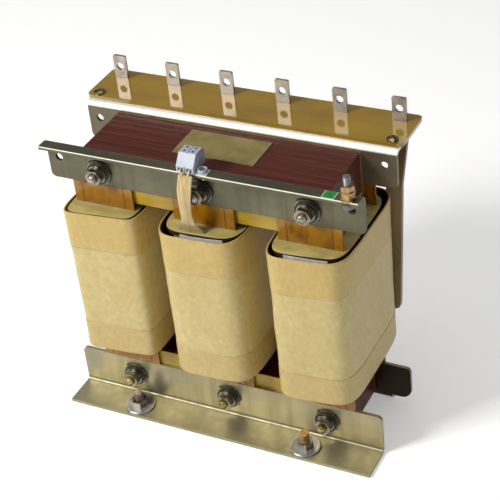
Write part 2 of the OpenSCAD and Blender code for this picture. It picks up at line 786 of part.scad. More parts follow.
module board_nuts() {
    color("silver") on_core() at_board_screws(flange_z - clamp_t - board_nut_h)
        hex_nut(board_nut_af, board_screw_d + 2 * bolt_play, board_nut_h);
}

// Lead bars: each stands up through a slot in the board as a terminal, and hangs behind its coil below
function lead_lean_of(i) = i == 0 ? lead_lean : i == len(tab_xs) - 1 ? -lead_lean : 0;
function lead_y_of(i) = coil_depths[lead_coils[i]] / 2 + play + sleeve_t / 2;
function arc(x, z, r, from, to) = r == 0 ? [[x, z]] :
    [for (k = [0:corner_points]) let (a = from + (to - from) * k / corner_points)
        [x + r * cos(a), z + r * sin(a)]];
module lead_outline(w, low, high, low_r, high_r, lean) {
    side = w / 2;
    polygon(concat(arc(side - high_r, high - high_r, high_r, 90, 0), [[side, lead_lean_z]],
        arc(lean + side - low_r, low + low_r, low_r, 0, -90),
        arc(lean - side + low_r, low + low_r, low_r, -90, -180),
        [[-side, lead_lean_z]], arc(high_r - side, high - high_r, high_r, 180, 90)));
}
module lead_profile(t, low, high, y) {
    polygon([[y - t / 2, low], [y + t / 2, low], [y + t / 2, lead_bend_low],
        [tab_y + t / 2, lead_bend_high], [tab_y + t / 2, high], [tab_y - t / 2, high],
        [tab_y - t / 2, lead_bend_high], [y - t / 2, lead_bend_low]]);
}
module lead_solid(i, w, t, low, high, low_r, high_r) {
    intersection() {
        rotate([90, 0, 90]) linear_extrude(height = 4 * lead_w, center = true)
            lead_profile(t, low, high, lead_y_of(i));
        translate([0, board_back, 0]) rotate([90, 0, 0]) linear_extrude(height = board_back)
            lead_outline(w, low, high, low_r, high_r, lead_lean_of(i));
    }
}
module lead_bars() {
    color("silver") on_core() for (i = [0:len(tab_xs) - 1]) translate([tab_xs[i], 0, 0]) difference() {
        lead_solid(i, lead_w, lead_t, lead_low, tab_top, lead_end_r, tab_corner_r);
        translate([0, 0, tab_top - tab_hole_drop])
            bar_y(tab_hole_d, tab_y - lead_t / 2 - over, tab_y + lead_t / 2 + over);
    }
}
module lead_sleeves() {
    bore_low = lead_low - lead_play;
    bore_r = lead_end_r + lead_play;
    color("dimgray") on_core() for (i = [0:len(tab_xs) - 1]) translate([tab_xs[i], 0, 0]) difference() {
        lead_solid(i, sleeve_w, sleeve_t, bore_low - lead_sleeve_t, sleeve_top, bore_r + lead_sleeve_t, 0);
        lead_solid(i, lead_w + 2 * lead_play, lead_t + 2 * lead_play, bore_low, sleeve_top + over, bore_r, 0);
    }
}

// Two-pole terminal block for the thermal switch, on a foot screwed to the front flange
module at_poles() { for (side = [-1, 1]) translate([block_x + side * pole_w / 2, 0, 0]) children(); }
module block_body() {
    translate([block_x - block_w / 2, 0, block_low]) rotate([90, 0, 90]) linear_extrude(height = block_w)
        polygon([[block_back, 0], [block_front, 0], [block_front, block_h - block_slope_h],
            [block_brow, block_h], [block_back + block_chamfer, block_h],
            [block_back, block_h - block_chamfer]]);
}
module terminal_block() {
    row_step = block_top_d / 4;
    color("lightsteelblue") on_core() front_side() difference() {
        block_body();
        at_poles() {
            translate([-entry_w / 2, block_front - entry_d, entry_z - entry_h / 2])
                cube([entry_w, entry_d + over, entry_h]);
            for (y = [block_brow - row_step, block_back + row_step + block_chamfer / 2])
                translate([0, y, block_top - driver_hole_deep])
                    cylinder(d = driver_hole_d, h = driver_hole_deep + over);
        }
        translate([block_x - pole_gap / 2, block_front - pole_gap, block_low - over])
            cube([pole_gap, pole_gap + over, block_h + 2 * over]);
        translate([block_x - pole_gap / 2, block_back - over, block_top - pole_gap])
            cube([pole_gap, block_top_d + 2 * over, pole_gap + over]);
    }
}
module block_contacts() {
    contact_t = entry_h / 3;
    color("gold") on_core() front_side() at_poles()
        translate([-entry_w / 2, block_front - entry_d, entry_z - entry_h / 2])
            cube([entry_w, entry_d / 2, contact_t]);
}
module block_foot() {
    foot_d = flange_edge - flange_flat;
    color("lightgray") on_core() front_side() difference() {
        translate([block_x - block_w / 2, flange_flat, flange_z])
            cube([block_w + block_foot_over, foot_d, block_foot_t]);
        translate([block_screw_x, flange_mid, flange_z - over])
            cylinder(d = block_screw_d + 2 * bolt_play, h = block_foot_t + 2 * over);
    }
}
module block_screw() {
    shank = block_foot_t + clamp_t + block_screw_d;
    color("silver") on_core() translate([block_screw_x, -flange_mid, block_low]) {
        translate([0, 0, -shank]) cylinder(d = block_screw_d, h = shank + block_screw_head_h / 2);
        cylinder(d = block_screw_head_d, h = block_screw_head_h);
    }
}

// A flat tube swept along route points [x, y, z, width], which lie near one YZ plane
function place(q) = [q.x, q.y, q.z];
function unit(v) = v / norm(v);
function heading(p, i) = unit(place(p[min(i + 1, len(p) - 1)] - p[max(i - 1, 0)]));
function ring_points(q, d, t, sides) = let (n = unit(cross(d, [1, 0, 0])), w = q[3])
    [for (k = [0:sides - 1]) let (a = 360 * k / sides)
        place(q) + [cos(a) * w / 2, 0, 0] + n * (sin(a) * t / 2)];
module swept(p, t, sides) {
    last = len(p) - 1;
    ends = [[for (k = [sides - 1:-1:0]) k], [for (k = [0:sides - 1]) last * sides + k]];
    walls = [for (i = [0:last - 1], k = [0:sides - 1]) let (m = (k + 1) % sides)
        [i * sides + k, i * sides + m, (i + 1) * sides + m, (i + 1) * sides + k]];
    polyhedron(points = [for (i = [0:last]) each ring_points(p[i], heading(p, i), t, sides)],
        faces = concat(walls, ends), convexity = 4);
}
// Points of a smooth curve through a list of points, by Catmull and Rom's formula
function curve_point(p, i, u) = let (a = p[max(i - 1, 0)], b = p[i], c = p[i + 1],
    d = p[min(i + 2, len(p) - 1)])
    (2 * b + (c - a) * u + (2 * a - 5 * b + 4 * c - d) * u * u + (3 * b - a - 3 * c + d) * u * u * u) / 2;
function smooth_route(p, steps) = concat(
    [for (i = [0:len(p) - 2], s = [0:steps - 1]) curve_point(p, i, s / steps)], [p[len(p) - 1]]);
cloth_route = [
    [cloth_top_x, -cloth_top_y, cloth_top_z, cloth_w],
    [(2 * cloth_top_x + cloth_x) / 3, -cloth_bolt_y, high_bolt_z + bolt_d, cloth_w],
    [(cloth_top_x + 2 * cloth_x) / 3, -cloth_bolt_y, high_bolt_z - bolt_d, cloth_w],
    [cloth_x, -cloth_y, rings_high + 4 * cloth_t, cloth_w],
    [cloth_x, -cloth_y, rings_high, cloth_foot_w],
    [cloth_x, -cloth_y, rings_high - end_ring_t, cloth_low_w],
    [cloth_x, -cloth_y, cloth_low_z, cloth_low_w]];
module cloth_sleeve() {
    color("wheat") on_core() swept(smooth_route(cloth_route, 4), cloth_t, 12);
}
module sensor_wires() {
    reach = cloth_top_y - block_front;
    color("white") on_core() for (side = [-1, 1]) {
        x_low = cloth_top_x + side * cloth_w / 5;
        x_high = block_x + side * pole_w / 2;
        swept(smooth_route([[x_low, -cloth_top_y, cloth_top_z, wire_d],
            [x_high, -block_front - reach / 2, entry_z - reach / 2, wire_d],
            [x_high, -block_front + entry_d / 3, entry_z, wire_d]], 4), wire_d, 8);
    }
}
module thermal_switch() {
    color("white") on_core() translate([cloth_x - switch_size.x / 2, -cloth_y - switch_size.y / 2,
        cloth_low_z - switch_size.z]) cube(switch_size);
}

core_yoke_top();
core_yoke_bottom();
core_limb_left();
core_limb_middle();
core_limb_right();
air_gap_plates();
nameplate_blank();
clamp_top_front();
clamp_top_rear();
clamp_bottom_front();
clamp_bottom_rear();
strip_top_front();
strip_top_rear();
strip_bottom_front();
strip_bottom_rear();
coil_former_left();
coil_former_middle();
coil_former_right();
flap_boards_left();
flap_boards_middle();
flap_boards_right();
foil_winding_left();
foil_winding_middle();
foil_winding_right();
end_rings_left();
end_rings_middle();
end_rings_right();
duct_sticks();
coil_wrap_left();
coil_wrap_middle();
coil_wrap_right();
clamp_bolts_top();
clamp_bolts_bottom();
bolt_sleeves();
clamp_nuts();
lock_washers();
steel_washers();
insulating_washers();
plate_washers();
insulating_squares();
foot_studs();
foot_washers();
foot_nuts();
earth_stud();
earth_washers();
earth_nuts();
terminal_board();
board_screws();
board_nuts();
lead_bars();
lead_sleeves();
terminal_block();
block_contacts();
block_foot();
block_screw();
sensor_wires();
cloth_sleeve();
thermal_switch();
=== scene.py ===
import json
import math

import bpy
from mathutils import Matrix, Vector, noise


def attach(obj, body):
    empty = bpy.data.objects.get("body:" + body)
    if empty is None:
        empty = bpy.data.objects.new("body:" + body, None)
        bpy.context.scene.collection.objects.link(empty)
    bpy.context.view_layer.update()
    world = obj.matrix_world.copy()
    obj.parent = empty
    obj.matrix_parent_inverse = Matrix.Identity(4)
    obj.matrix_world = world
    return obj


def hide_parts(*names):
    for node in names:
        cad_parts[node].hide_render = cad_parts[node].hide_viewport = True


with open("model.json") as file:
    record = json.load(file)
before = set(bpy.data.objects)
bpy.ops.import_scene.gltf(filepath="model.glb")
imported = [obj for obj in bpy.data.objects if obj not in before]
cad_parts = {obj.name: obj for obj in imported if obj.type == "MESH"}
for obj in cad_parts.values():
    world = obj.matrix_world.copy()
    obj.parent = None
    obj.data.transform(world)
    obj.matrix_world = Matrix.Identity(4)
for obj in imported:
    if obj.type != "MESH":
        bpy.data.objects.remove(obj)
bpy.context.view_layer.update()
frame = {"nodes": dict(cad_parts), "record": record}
MM = 0.001
# The middle of the core lies this far in front of the frame's origin, in metres
CORE_Y = -9.25 * MM


# Sizes shared by materials and pieces, in millimetres from the core's middle and from the floor

LIMB_PITCH = 92.5
COIL_LOW, COIL_HIGH = 60.0, 202.5
FORMER_HALF_W, FORMER_HALF_D = 19.0, 33.0
YOKE_HALF_L, YOKE_HALF_D = 109.5, 30.5
YOKE_LOW, CORE_TOP = 214.0, 250.0
FLANGE_Z = 256.0
# Heights of the seams between a wrap's bands of tape
SEAM_LOW, SEAM_HIGH = 88.0, 167.0
# The green mark on the front flange, from its left to its right and from its front to its rear
MARK_X, MARK_Y = (109.8, 120.4), (-45.8, -32.9)


# Camera

def look(place, yaw, pitch, roll, focal_px, centre_px, frame_px, sensor):
    """A camera at a place in metres, turned by yaw, pitch and roll in degrees."""
    y, p, r = (math.radians(a) for a in (yaw, pitch, roll))
    ahead = Vector((-math.sin(y) * math.cos(p), math.cos(y) * math.cos(p), -math.sin(p)))
    level_right = Vector((math.cos(y), math.sin(y), 0.0))
    level_up = level_right.cross(ahead)
    right = math.cos(r) * level_right + math.sin(r) * level_up
    up = -math.sin(r) * level_right + math.cos(r) * level_up
    data = bpy.data.cameras.new("camera")
    data.sensor_width = sensor
    data.lens = focal_px * sensor / frame_px
    data.shift_x = (frame_px / 2 - centre_px[0]) / frame_px
    data.shift_y = (centre_px[1] - frame_px / 2) / frame_px
    data.clip_start, data.clip_end = 0.05, 20.0
    data.dof.use_dof = False
    turn = Matrix((right, up, -ahead)).transposed().to_4x4()
    camera = bpy.data.objects.new("camera", data)
    camera.matrix_world = Matrix.Translation(place) @ turn
    bpy.context.collection.objects.link(camera)
    bpy.context.scene.camera = camera


look(
    place=Vector((0.5277, -0.90295, 0.8699)),
    yaw=29.32,
    pitch=34.41,
    roll=-6.42,
    focal_px=1516.3,
    centre_px=(256.25, 241.07),
    frame_px=500,
    sensor=36.0,
)


# Stage

# The floor lies this many millimetres below the feet, so that the two don't share a face
FLOOR_DROP = 0.05
# Half side of the floor and middle of the part, in metres
FLOOR_HALF = 60.0
PART_MIDDLE = (0.0, 0.0, 0.14)


def plain_world(colour, strength):
    world = bpy.data.worlds.new("studio")
    bpy.context.scene.world = world
    world.use_nodes = True
    ground = world.node_tree.nodes["Background"]
    ground.inputs["Color"].default_value = (*colour, 1.0)
    ground.inputs["Strength"].default_value = strength


def area_light(name, place, size, power, colour=(1.0, 1.0, 1.0)):
    """A square light at a place in metres, aimed at the middle of the part."""
    data = bpy.data.lights.new(name, "AREA")
    data.shape = "RECTANGLE"
    data.size = size
    data.size_y = size
    data.energy = power
    data.color = colour
    light = bpy.data.objects.new(name, data)
    light.location = place
    light.rotation_mode = "QUATERNION"
    light.rotation_quaternion = (Vector(PART_MIDDLE) - Vector(place)).to_track_quat("-Z", "Y")
    bpy.context.collection.objects.link(light)


def studio_floor(half_side, colour, glow):
    """A pale paper floor with a half side in metres, which glows a little."""
    mesh = bpy.data.meshes.new("floor")
    corners = [(x * half_side, y * half_side, 0) for x, y in ((-1, -1), (1, -1), (1, 1), (-1, 1))]
    mesh.from_pydata(corners, [], [(0, 1, 2, 3)])
    floor = bpy.data.objects.new("floor", mesh)
    floor.location.z = -FLOOR_DROP * MM
    bpy.context.collection.objects.link(floor)
    made = bpy.data.materials.new("floor_paper")
    made.use_nodes = True
    shader = made.node_tree.nodes["Principled BSDF"]
    shader.inputs["Base Color"].default_value = (*colour, 1.0)
    shader.inputs["Roughness"].default_value = 0.9
    shader.inputs["Emission Color"].default_value = (1.0, 1.0, 1.0, 1.0)
    shader.inputs["Emission Strength"].default_value = glow
    mesh.materials.append(made)


bpy.context.scene.view_settings.view_transform = "Standard"
plain_world(colour=(1.0, 1.0, 1.0), strength=0.22)
studio_floor(FLOOR_HALF, colour=(0.92, 0.92, 0.92), glow=0.32)
area_light("key", place=(-1.0, -1.25, 1.4), size=0.5, power=34.0, colour=(1.0, 0.99, 0.96))
area_light("top", place=(-0.1, 0.1, 2.0), size=1.4, power=9.0)


# Building blocks of the materials

# Most values of a noise lie in this span
NOISE_SPAN = (0.3, 0.7)


class Paint:
    """A procedural material under construction: calls that build nodes on its tree."""

    def __init__(self, name):
        self.material = bpy.data.materials.new(name)
        self.material.use_nodes = True
        self.tree = self.material.node_tree
        self.shader = self.tree.nodes["Principled BSDF"]
        self.place = self.tree.nodes.new("ShaderNodeTexCoord").outputs["Object"]

    def node(self, kind, **inputs):
        made = self.tree.nodes.new(kind)
        for key, value in inputs.items():
            self.feed(made.inputs[key.replace("_", " ")], value)
        return made

    def feed(self, socket, value):
        if isinstance(value, bpy.types.NodeSocket):
            self.tree.links.new(value, socket)
        else:
            socket.default_value = value

    def set(self, **values):
        """Values or sockets for the shader, with _ for a space in each name."""
        for key, value in values.items():
            self.feed(self.shader.inputs[key.replace("_", " ")], value)

    def stretched(self, scale):
        """The place in the frame, with each axis multiplied by its own scale per metre."""
        return self.node("ShaderNodeMapping", Vector=self.place, Scale=scale).outputs["Vector"]

    def noise(self, scale, detail=2.0, rough=0.5, warp=0.0):
        """Noise with its own scale per metre along each axis."""
        spot = self.stretched(scale)
        shape = {"Detail": detail, "Roughness": rough, "Distortion": warp}
        return self.node("ShaderNodeTexNoise", Vector=spot, Scale=1.0, **shape).outputs["Fac"]

    def axis(self, name):
        return self.node("ShaderNodeSeparateXYZ", Vector=self.place).outputs[name]

    def facing(self, name):
        """The share of the surface's direction that lies along an axis."""
        normal = self.tree.nodes.new("ShaderNodeNewGeometry").outputs["Normal"]
        return self.node("ShaderNodeSeparateXYZ", Vector=normal).outputs[name]

    def calc(self, operation, a, b=0.0, c=0.0):
        made = self.tree.nodes.new("ShaderNodeMath")
        made.operation = operation
        for socket, value in zip(made.inputs, (a, b, c)):
            self.feed(socket, value)
        return made.outputs["Value"]

    def over(self, a, b):
        """1 where a is greater than b, else 0."""
        return self.calc("GREATER_THAN", a, b)

    def under(self, a, b):
        """1 where a is less than b, else 0."""
        return self.calc("LESS_THAN", a, b)

    def times(self, a, b):
        return self.calc("MULTIPLY", a, b)

    def size(self, a):
        return self.calc("ABSOLUTE", a)

    def distance(self, a, b):
        return self.size(self.calc("SUBTRACT", a, b))

    def ramp(self, value, stops):
        """Colours between the stops (value, colour)."""
        made = self.node("ShaderNodeValToRGB", Fac=value)
        elements = made.color_ramp.elements
        while len(elements) < len(stops):
            elements.new(0.5)
        for element, (place, colour) in zip(elements, stops):
            element.position = place
            element.color = (*colour, 1.0)
        return made.outputs["Color"]

    def grey(self, value, stops):
        """Levels between the stops (value, level)."""
        return self.ramp(value, [(place, (level, level, level)) for place, level in stops])

    def blend(self, value, low, high):
        """From one colour to another over a noise's span."""
        return self.ramp(value, list(zip(NOISE_SPAN, (low, high))))

    def level(self, value, low, high):
        """From one level to another over a noise's span."""
        return self.grey(value, list(zip(NOISE_SPAN, (low, high))))

    def mix(self, share, a, b):
        """From colour a, at share 0, to colour b, at share 1."""
        made = self.tree.nodes.new("ShaderNodeMix")
        made.data_type = "RGBA"
        # Other types of the node have sockets of the same names, so these go by number
        self.feed(made.inputs[0], share)
        for socket, value in ((made.inputs[6], a), (made.inputs[7], b)):
            self.feed(socket, (*value, 1.0) if isinstance(value, tuple) else value)
        return made.outputs[2]

    def bump(self, height, strength, depth, below=None):
        """A relief this deep in millimetres, on top of the one below it."""
        made = self.node("ShaderNodeBump", Height=height, Strength=strength, Distance=depth * MM)
        if below is not None:
            self.feed(made.inputs["Normal"], below)
        return made.outputs["Normal"]


def rgb(red, green, blue):
    """An 8-bit colour of the screen as linear light."""
    made = []
    for level in (red, green, blue):
        share = level / 255
        made.append(share / 12.92 if share <= 0.04045 else ((share + 0.055) / 1.055) ** 2.4)
    return tuple(made)


def dimmed(colour, share):
    return tuple(share * level for level in colour)


# Core and sheet metal

# Three copies of one zinc at different brightness: the front and rear top clamps' tones are darker
# than the feet's, painted shade and painted reflection of darker surroundings
ZINC_TOP_SHADED = (rgb(86, 84, 68), rgb(100, 97, 78), rgb(118, 113, 90))
ZINC_REAR_SHADED = (rgb(120, 110, 88), rgb(138, 127, 102), rgb(156, 145, 116))
ZINC_FOOT = (rgb(164, 157, 128), rgb(186, 178, 146), rgb(206, 197, 164))
# The front flange has a painted highlight along its edge in front of this Y, above this Z
EDGE_HIGHLIGHT_Y, EDGE_HIGHLIGHT_Z = -45.6, 255.1
# The rear flange carries a painted highlight above this Z
FLANGE_HIGHLIGHT_Z = 251.5
# Faces count as slanted between these shares of an upward direction
SLANT_FROM, SLANT_TO = 0.12, 0.97


def core_iron():
    """Lamination edges along X, under reddish brown paint."""
    p = Paint("core_iron")
    lines = p.noise((3.0, 1500.0, 12.0), detail=3.0, rough=0.7)
    wide = p.noise((14.0, 140.0, 30.0), detail=3.0)
    tones = [(0.36, rgb(38, 15, 11)), (0.52, rgb(76, 31, 23)), (0.7, rgb(132, 66, 52))]
    dark = p.ramp(lines, tones)
    colour = p.mix(p.grey(wide, [(0.35, 0.0), (0.7, 0.4)]), dark, rgb(90, 38, 26))
    p.set(Base_Color=colour, Roughness=p.level(wide, 0.36, 0.52), Specular_IOR_Level=0.22)
    p.set(Normal=p.bump(lines, 0.35, 0.4, p.bump(wide, 0.2, 0.8)))
    return p.material


def gap_board():
    p = Paint("gap_board")
    grain = p.noise((400.0, 400.0, 40.0), detail=3.0)
    p.set(Base_Color=p.blend(grain, rgb(150, 128, 78), rgb(182, 160, 104)), Roughness=0.6)
    p.set(Normal=p.bump(grain, 0.2, 0.3))
    return p.material


def plate_gold():
    p = Paint("plate_gold")
    brushed = p.noise((30.0, 1800.0, 30.0))
    cloud = p.noise((60.0, 60.0, 60.0))
    colour = p.mix(p.grey(cloud, [(0.35, 0.0), (0.65, 1.0)]), rgb(152, 138, 84), rgb(176, 160, 102))
    p.set(Base_Color=colour, Metallic=0.6, Roughness=p.level(brushed, 0.3, 0.45))
    p.set(Normal=p.bump(brushed, 0.08, 0.1))
    return p.material


def painted_shade_on_uprights(p, colour):
    """Painted shade: upright faces are darker, and slanted ones, such as the fold, darker still."""
    tilt = p.size(p.facing("Z"))
    upright = p.times(p.under(tilt, 0.5), 0.5)
    slanted = p.times(p.times(p.over(tilt, SLANT_FROM), p.under(tilt, SLANT_TO)), 0.55)
    upright_shaded = p.mix(upright, colour, dimmed(ZINC_FOOT[0], 0.5))
    return p.mix(slanted, upright_shaded, dimmed(ZINC_FOOT[0], 0.4))


def painted_edge_highlight(p, colour):
    """A painted highlight along the front edge of the flange."""
    in_front = p.under(p.axis("Y"), CORE_Y + EDGE_HIGHLIGHT_Y * MM)
    on_top = p.over(p.axis("Z"), EDGE_HIGHLIGHT_Z * MM)
    return p.mix(p.times(in_front, on_top), colour, rgb(244, 240, 222))


def darker_left_and_flange_highlight(p, colour):
    """The upright side darkens from X -25 to the left end, and the flange carries a painted
    highlight.
    """
    to_left = p.grey(p.calc("MULTIPLY_ADD", p.axis("X"), 4.0, 0.6), [(0.05, 0.7), (0.5, 0.0)])
    highlit = p.over(p.axis("Z"), FLANGE_HIGHLIGHT_Z * MM)
    return p.mix(highlit, p.mix(to_left, colour, dimmed(ZINC_REAR_SHADED[0], 0.55)), rgb(232, 230, 220))


def painted_shade_on_front(p, colour):
    """The face that looks to the front is made dark brown: painted shade under the coils."""
    return p.mix(p.under(p.facing("Y"), -0.5), colour, rgb(52, 38, 28))


def zinc_sheet(name, tones, *changes):
    """Passivated zinc on sheet, cloudy, with faint upright smears and changes to its colour."""
    dark, mean, light = tones
    p = Paint(name)
    cloud = p.noise((14.0, 14.0, 26.0), detail=4.0, rough=0.6)
    fine = p.noise((600.0, 600.0, 60.0))
    smear = p.noise((150.0, 150.0, 9.0), detail=3.0)
    base = p.ramp(cloud, [(0.3, dark), (0.5, mean), (0.72, light)])
    colour = p.mix(p.grey(smear, [(0.42, 0.0), (0.75, 0.4)]), base, dark)
    for change in changes:
        colour = change(p, colour)
    p.set(Base_Color=colour, Metallic=0.8, Roughness=p.level(smear, 0.38, 0.5))
    p.set(Normal=p.bump(fine, 0.12, 0.2, p.bump(cloud, 0.05, 1.5)))
    return p.material


# Boards, strips and windings

# Corners of a former show through the flap boards: distance from its middle, line's half width
CORNER_X, CORNER_HALF_W = 19.5, 0.8
# How far the seams of a wrap wander, and half width of the dark line along them
SEAM_DRIFT, SEAM_HALF_W = 3.0, 0.35


def strip_yellow():
    p = Paint("strip_yellow")
    weave = p.noise((900.0, 900.0, 900.0), detail=1.0)
    cloud = p.noise((45.0, 45.0, 90.0), detail=3.0)
    p.set(Base_Color=p.blend(cloud, rgb(152, 122, 12), rgb(178, 146, 26)), Roughness=0.35)
    p.set(Subsurface_Weight=0.1, Subsurface_Radius=(0.003, 0.002, 0.0005))
    p.set(Coat_Weight=0.12, Coat_Roughness=0.15, Normal=p.bump(weave, 0.08, 0.1))
    return p.material


def former_corners(p, colour):
    """The corners of the formers behind a board show through it as dark lines."""
    across = p.size(p.axis("X"))
    from_limb = p.calc("MINIMUM", across, p.distance(across, LIMB_PITCH * MM))
    line = p.under(p.distance(from_limb, CORNER_X * MM), CORNER_HALF_W * MM)
    return p.mix(p.times(line, 0.6), colour, rgb(84, 48, 8))


def amber(name, light, dark, *changes):
    """Amber board, with changes to its colour."""
    p = Paint(name)
    cloud = p.noise((70.0, 70.0, 40.0), detail=4.0, rough=0.6, warp=0.4)
    colour = p.ramp(cloud, [(0.3, dark), (0.5, light), (0.62, light), (0.78, dark)])
    for change in changes:
        colour = change(p, colour)
    p.set(Base_Color=colour, Roughness=0.25, Transmission_Weight=0.04, IOR=1.5)
    p.set(Subsurface_Weight=0.1, Subsurface_Radius=(0.003, 0.002, 0.0006))
    p.set(Normal=p.bump(cloud, 0.12, 0.8))
    return p.material


def foil():
    p = Paint("foil")
    line = p.noise((60.0, 60.0, 900.0))
    p.set(Base_Color=p.blend(line, rgb(190, 190, 194), rgb(226, 226, 228)), Metallic=1.0)
    p.set(Roughness=p.level(line, 0.22, 0.36), Normal=p.bump(line, 0.1, 0.2))
    return p.material


def foil_strip():
    """The paler edge of the foil where it shows in a coil's front gap."""
    p = Paint("foil_strip")
    line = p.noise((160.0, 160.0, 500.0))
    p.set(Base_Color=p.blend(line, rgb(196, 194, 196), rgb(236, 234, 234)), Metallic=0.15)
    p.set(Roughness=p.level(line, 0.3, 0.45), Normal=p.bump(line, 0.15, 0.3))
    return p.material


def ring_cream():
    """Cream board, with painted shade in dark brown on its upright side faces, which face the gaps
    round the ring.
    """
    p = Paint("ring_cream")
    cloud = p.noise((50.0, 90.0, 50.0), detail=4.0)
    fibre = p.noise((60.0, 1200.0, 300.0))
    tones = [(0.3, rgb(158, 143, 80)), (0.5, rgb(179, 164, 98)), (0.72, rgb(198, 182, 116))]
    colour = p.ramp(cloud, tones)
    side_shade = p.under(p.size(p.facing("Z")), 0.6)
    p.set(Base_Color=p.mix(side_shade, colour, rgb(58, 42, 24)), Roughness=0.42)
    p.set(Coat_Weight=0.15, Coat_Roughness=0.25)
    p.set(Normal=p.bump(fibre, 0.12, 0.2, p.bump(cloud, 0.1, 1.0)))
    return p.material


def stick_tan():
    p = Paint("stick_tan")
    grain = p.noise((500.0, 500.0, 20.0), detail=3.0)
    p.set(Base_Color=p.blend(grain, rgb(150, 120, 70), rgb(190, 160, 105)), Roughness=0.6)
    p.set(Normal=p.bump(grain, 0.3, 0.3))
    return p.material


def wrap_cream():
    """Three bands of cream tape, speckled and stained, with a thin dark line along each seam."""
    p = Paint("wrap_cream")
    drift = p.noise((24.0, 24.0, 6.0), detail=1.0)
    height = p.calc("MULTIPLY_ADD", drift, SEAM_DRIFT * MM, p.axis("Z"))
    spots = p.noise((230.0, 230.0, 170.0), detail=4.0, rough=0.62)
    cloud = p.noise((36.0, 36.0, 26.0), detail=3.0)
    weave = p.noise((1500.0, 1500.0, 1500.0), detail=1.0)
    middle_tones = (rgb(185, 166, 107), rgb(195, 177, 118), rgb(205, 189, 131))
    top_tones = (rgb(184, 156, 88), rgb(194, 168, 100), rgb(203, 180, 114))
    foot_tones = (rgb(180, 155, 97), rgb(191, 168, 108), rgb(200, 179, 121))
    middle = p.ramp(spots, list(zip((0.35, 0.55, 0.75), middle_tones)))
    top = p.ramp(spots, list(zip((0.35, 0.6, 0.8), top_tones)))
    foot = p.ramp(spots, list(zip((0.35, 0.6, 0.8), foot_tones)))
    # The drift's mean is half its reach
    high, low = ((seam + SEAM_DRIFT / 2) * MM for seam in (SEAM_HIGH, SEAM_LOW))
    in_top, in_foot = p.over(height, high), p.under(height, low)
    bands = p.mix(in_foot, p.mix(in_top, middle, top), foot)
    toned = p.mix(p.grey(cloud, [(0.35, 0.0), (0.75, 0.35)]), bands, rgb(184, 158, 92))
    from_seam = p.calc("MINIMUM", p.distance(height, high), p.distance(height, low))
    seam = p.under(from_seam, SEAM_HALF_W * MM)
    p.set(Base_Color=p.mix(p.times(seam, 0.4), toned, rgb(130, 102, 60)))
    p.set(Roughness=p.level(spots, 0.4, 0.52), Coat_Weight=0.15, Coat_Roughness=0.35)
    p.set(Subsurface_Weight=0.03, Subsurface_Radius=(0.002, 0.002, 0.001))
    step = p.bump(p.calc("MAXIMUM", in_top, in_foot), 0.5, 0.3)
    relief = p.bump(spots, 0.18, 0.5, p.bump(cloud, 0.25, 3.0, step))
    p.set(Normal=p.bump(weave, 0.12, 0.1, relief))
    return p.material


def wrap_inside_shaded():
    p = Paint("wrap_inside_shaded")
    cloud = p.noise((120.0, 120.0, 60.0), detail=3.0)
    # Dark brown: the tape's darker inner side, with painted shade of the gap inside the rim
    p.set(Base_Color=p.blend(cloud, rgb(38, 26, 14), rgb(66, 48, 28)), Roughness=0.7)
    p.set(Normal=p.bump(cloud, 0.2, 0.5))
    return p.material


def insulation_black():
    p = Paint("insulation_black")
    grain = p.noise((700.0, 700.0, 700.0))
    p.set(Base_Color=p.blend(grain, rgb(22, 20, 18), rgb(44, 40, 36)), Roughness=0.45)
    p.set(Normal=p.bump(grain, 0.15, 0.2))
    return p.material


def board_ochre():
    """Glossy board that mirrors what stands on it."""
    p = Paint("board_ochre")
    weave = p.noise((1100.0, 1100.0, 1100.0), detail=1.0)
    cloud = p.noise((20.0, 40.0, 40.0), detail=3.0)
    p.set(Base_Color=p.blend(cloud, rgb(136, 104, 8), rgb(158, 124, 14)))
    p.set(Roughness=0.09, IOR=1.55, Specular_IOR_Level=0.8)
    p.set(Coat_Weight=0.6, Coat_Roughness=0.04, Normal=p.bump(weave, 0.02, 0.1))
    return p.material


# Leads, bolts and small pieces

# Screws on the board: distance from its middle, place along Y, and half width of their slots
SCREW_X, SCREW_Y, SLOT_HALF_W = 133.0, 43.25, 0.6
# Below this height the cloth sleeve is soaked
SOAKED_Z = 209.0
# Width of the green mark's pale rim
MARK_RIM = 0.7
M8_PITCH, M6_PITCH = 1.25, 1.0

# Bright and dull colour, share of metal, least and most roughness, scale of the clouds
PLATED = {
    "steel_bright": (rgb(166, 161, 144), rgb(112, 107, 92), 1.0, 0.26, 0.46, (240.0, 240.0, 240.0)),
    "washer_pale": (rgb(206, 205, 208), rgb(160, 158, 160), 0.7, 0.3, 0.46, (150.0, 150.0, 150.0)),
    "stud_silver": (rgb(196, 193, 184), rgb(140, 137, 128), 1.0, 0.24, 0.4, (140.0, 140.0, 140.0)),
    "earth_brass": (rgb(190, 162, 120), rgb(134, 106, 72), 1.0, 0.24, 0.4, (150.0, 150.0, 150.0)),
    "lead_metal": (rgb(190, 184, 174), rgb(150, 142, 132), 0.8, 0.32, 0.5, (90.0, 90.0, 60.0)),
    "contact_brass": (rgb(200, 170, 100), rgb(150, 120, 60), 1.0, 0.3, 0.45, (150.0, 150.0, 150.0)),
}
# Light and dark colour, roughness
MOULDED = {
    "sleeve_ivory": (rgb(226, 218, 190), rgb(206, 196, 164), 0.5),
    "block_grey": (rgb(176, 182, 196), rgb(158, 164, 178), 0.42),
    "foot_pale": (rgb(206, 208, 200), rgb(180, 182, 172), 0.4),
    "wire_pale": (rgb(224, 208, 168), rgb(200, 184, 140), 0.5),
    "switch_body": (rgb(214, 210, 196), rgb(190, 184, 166), 0.5),
}
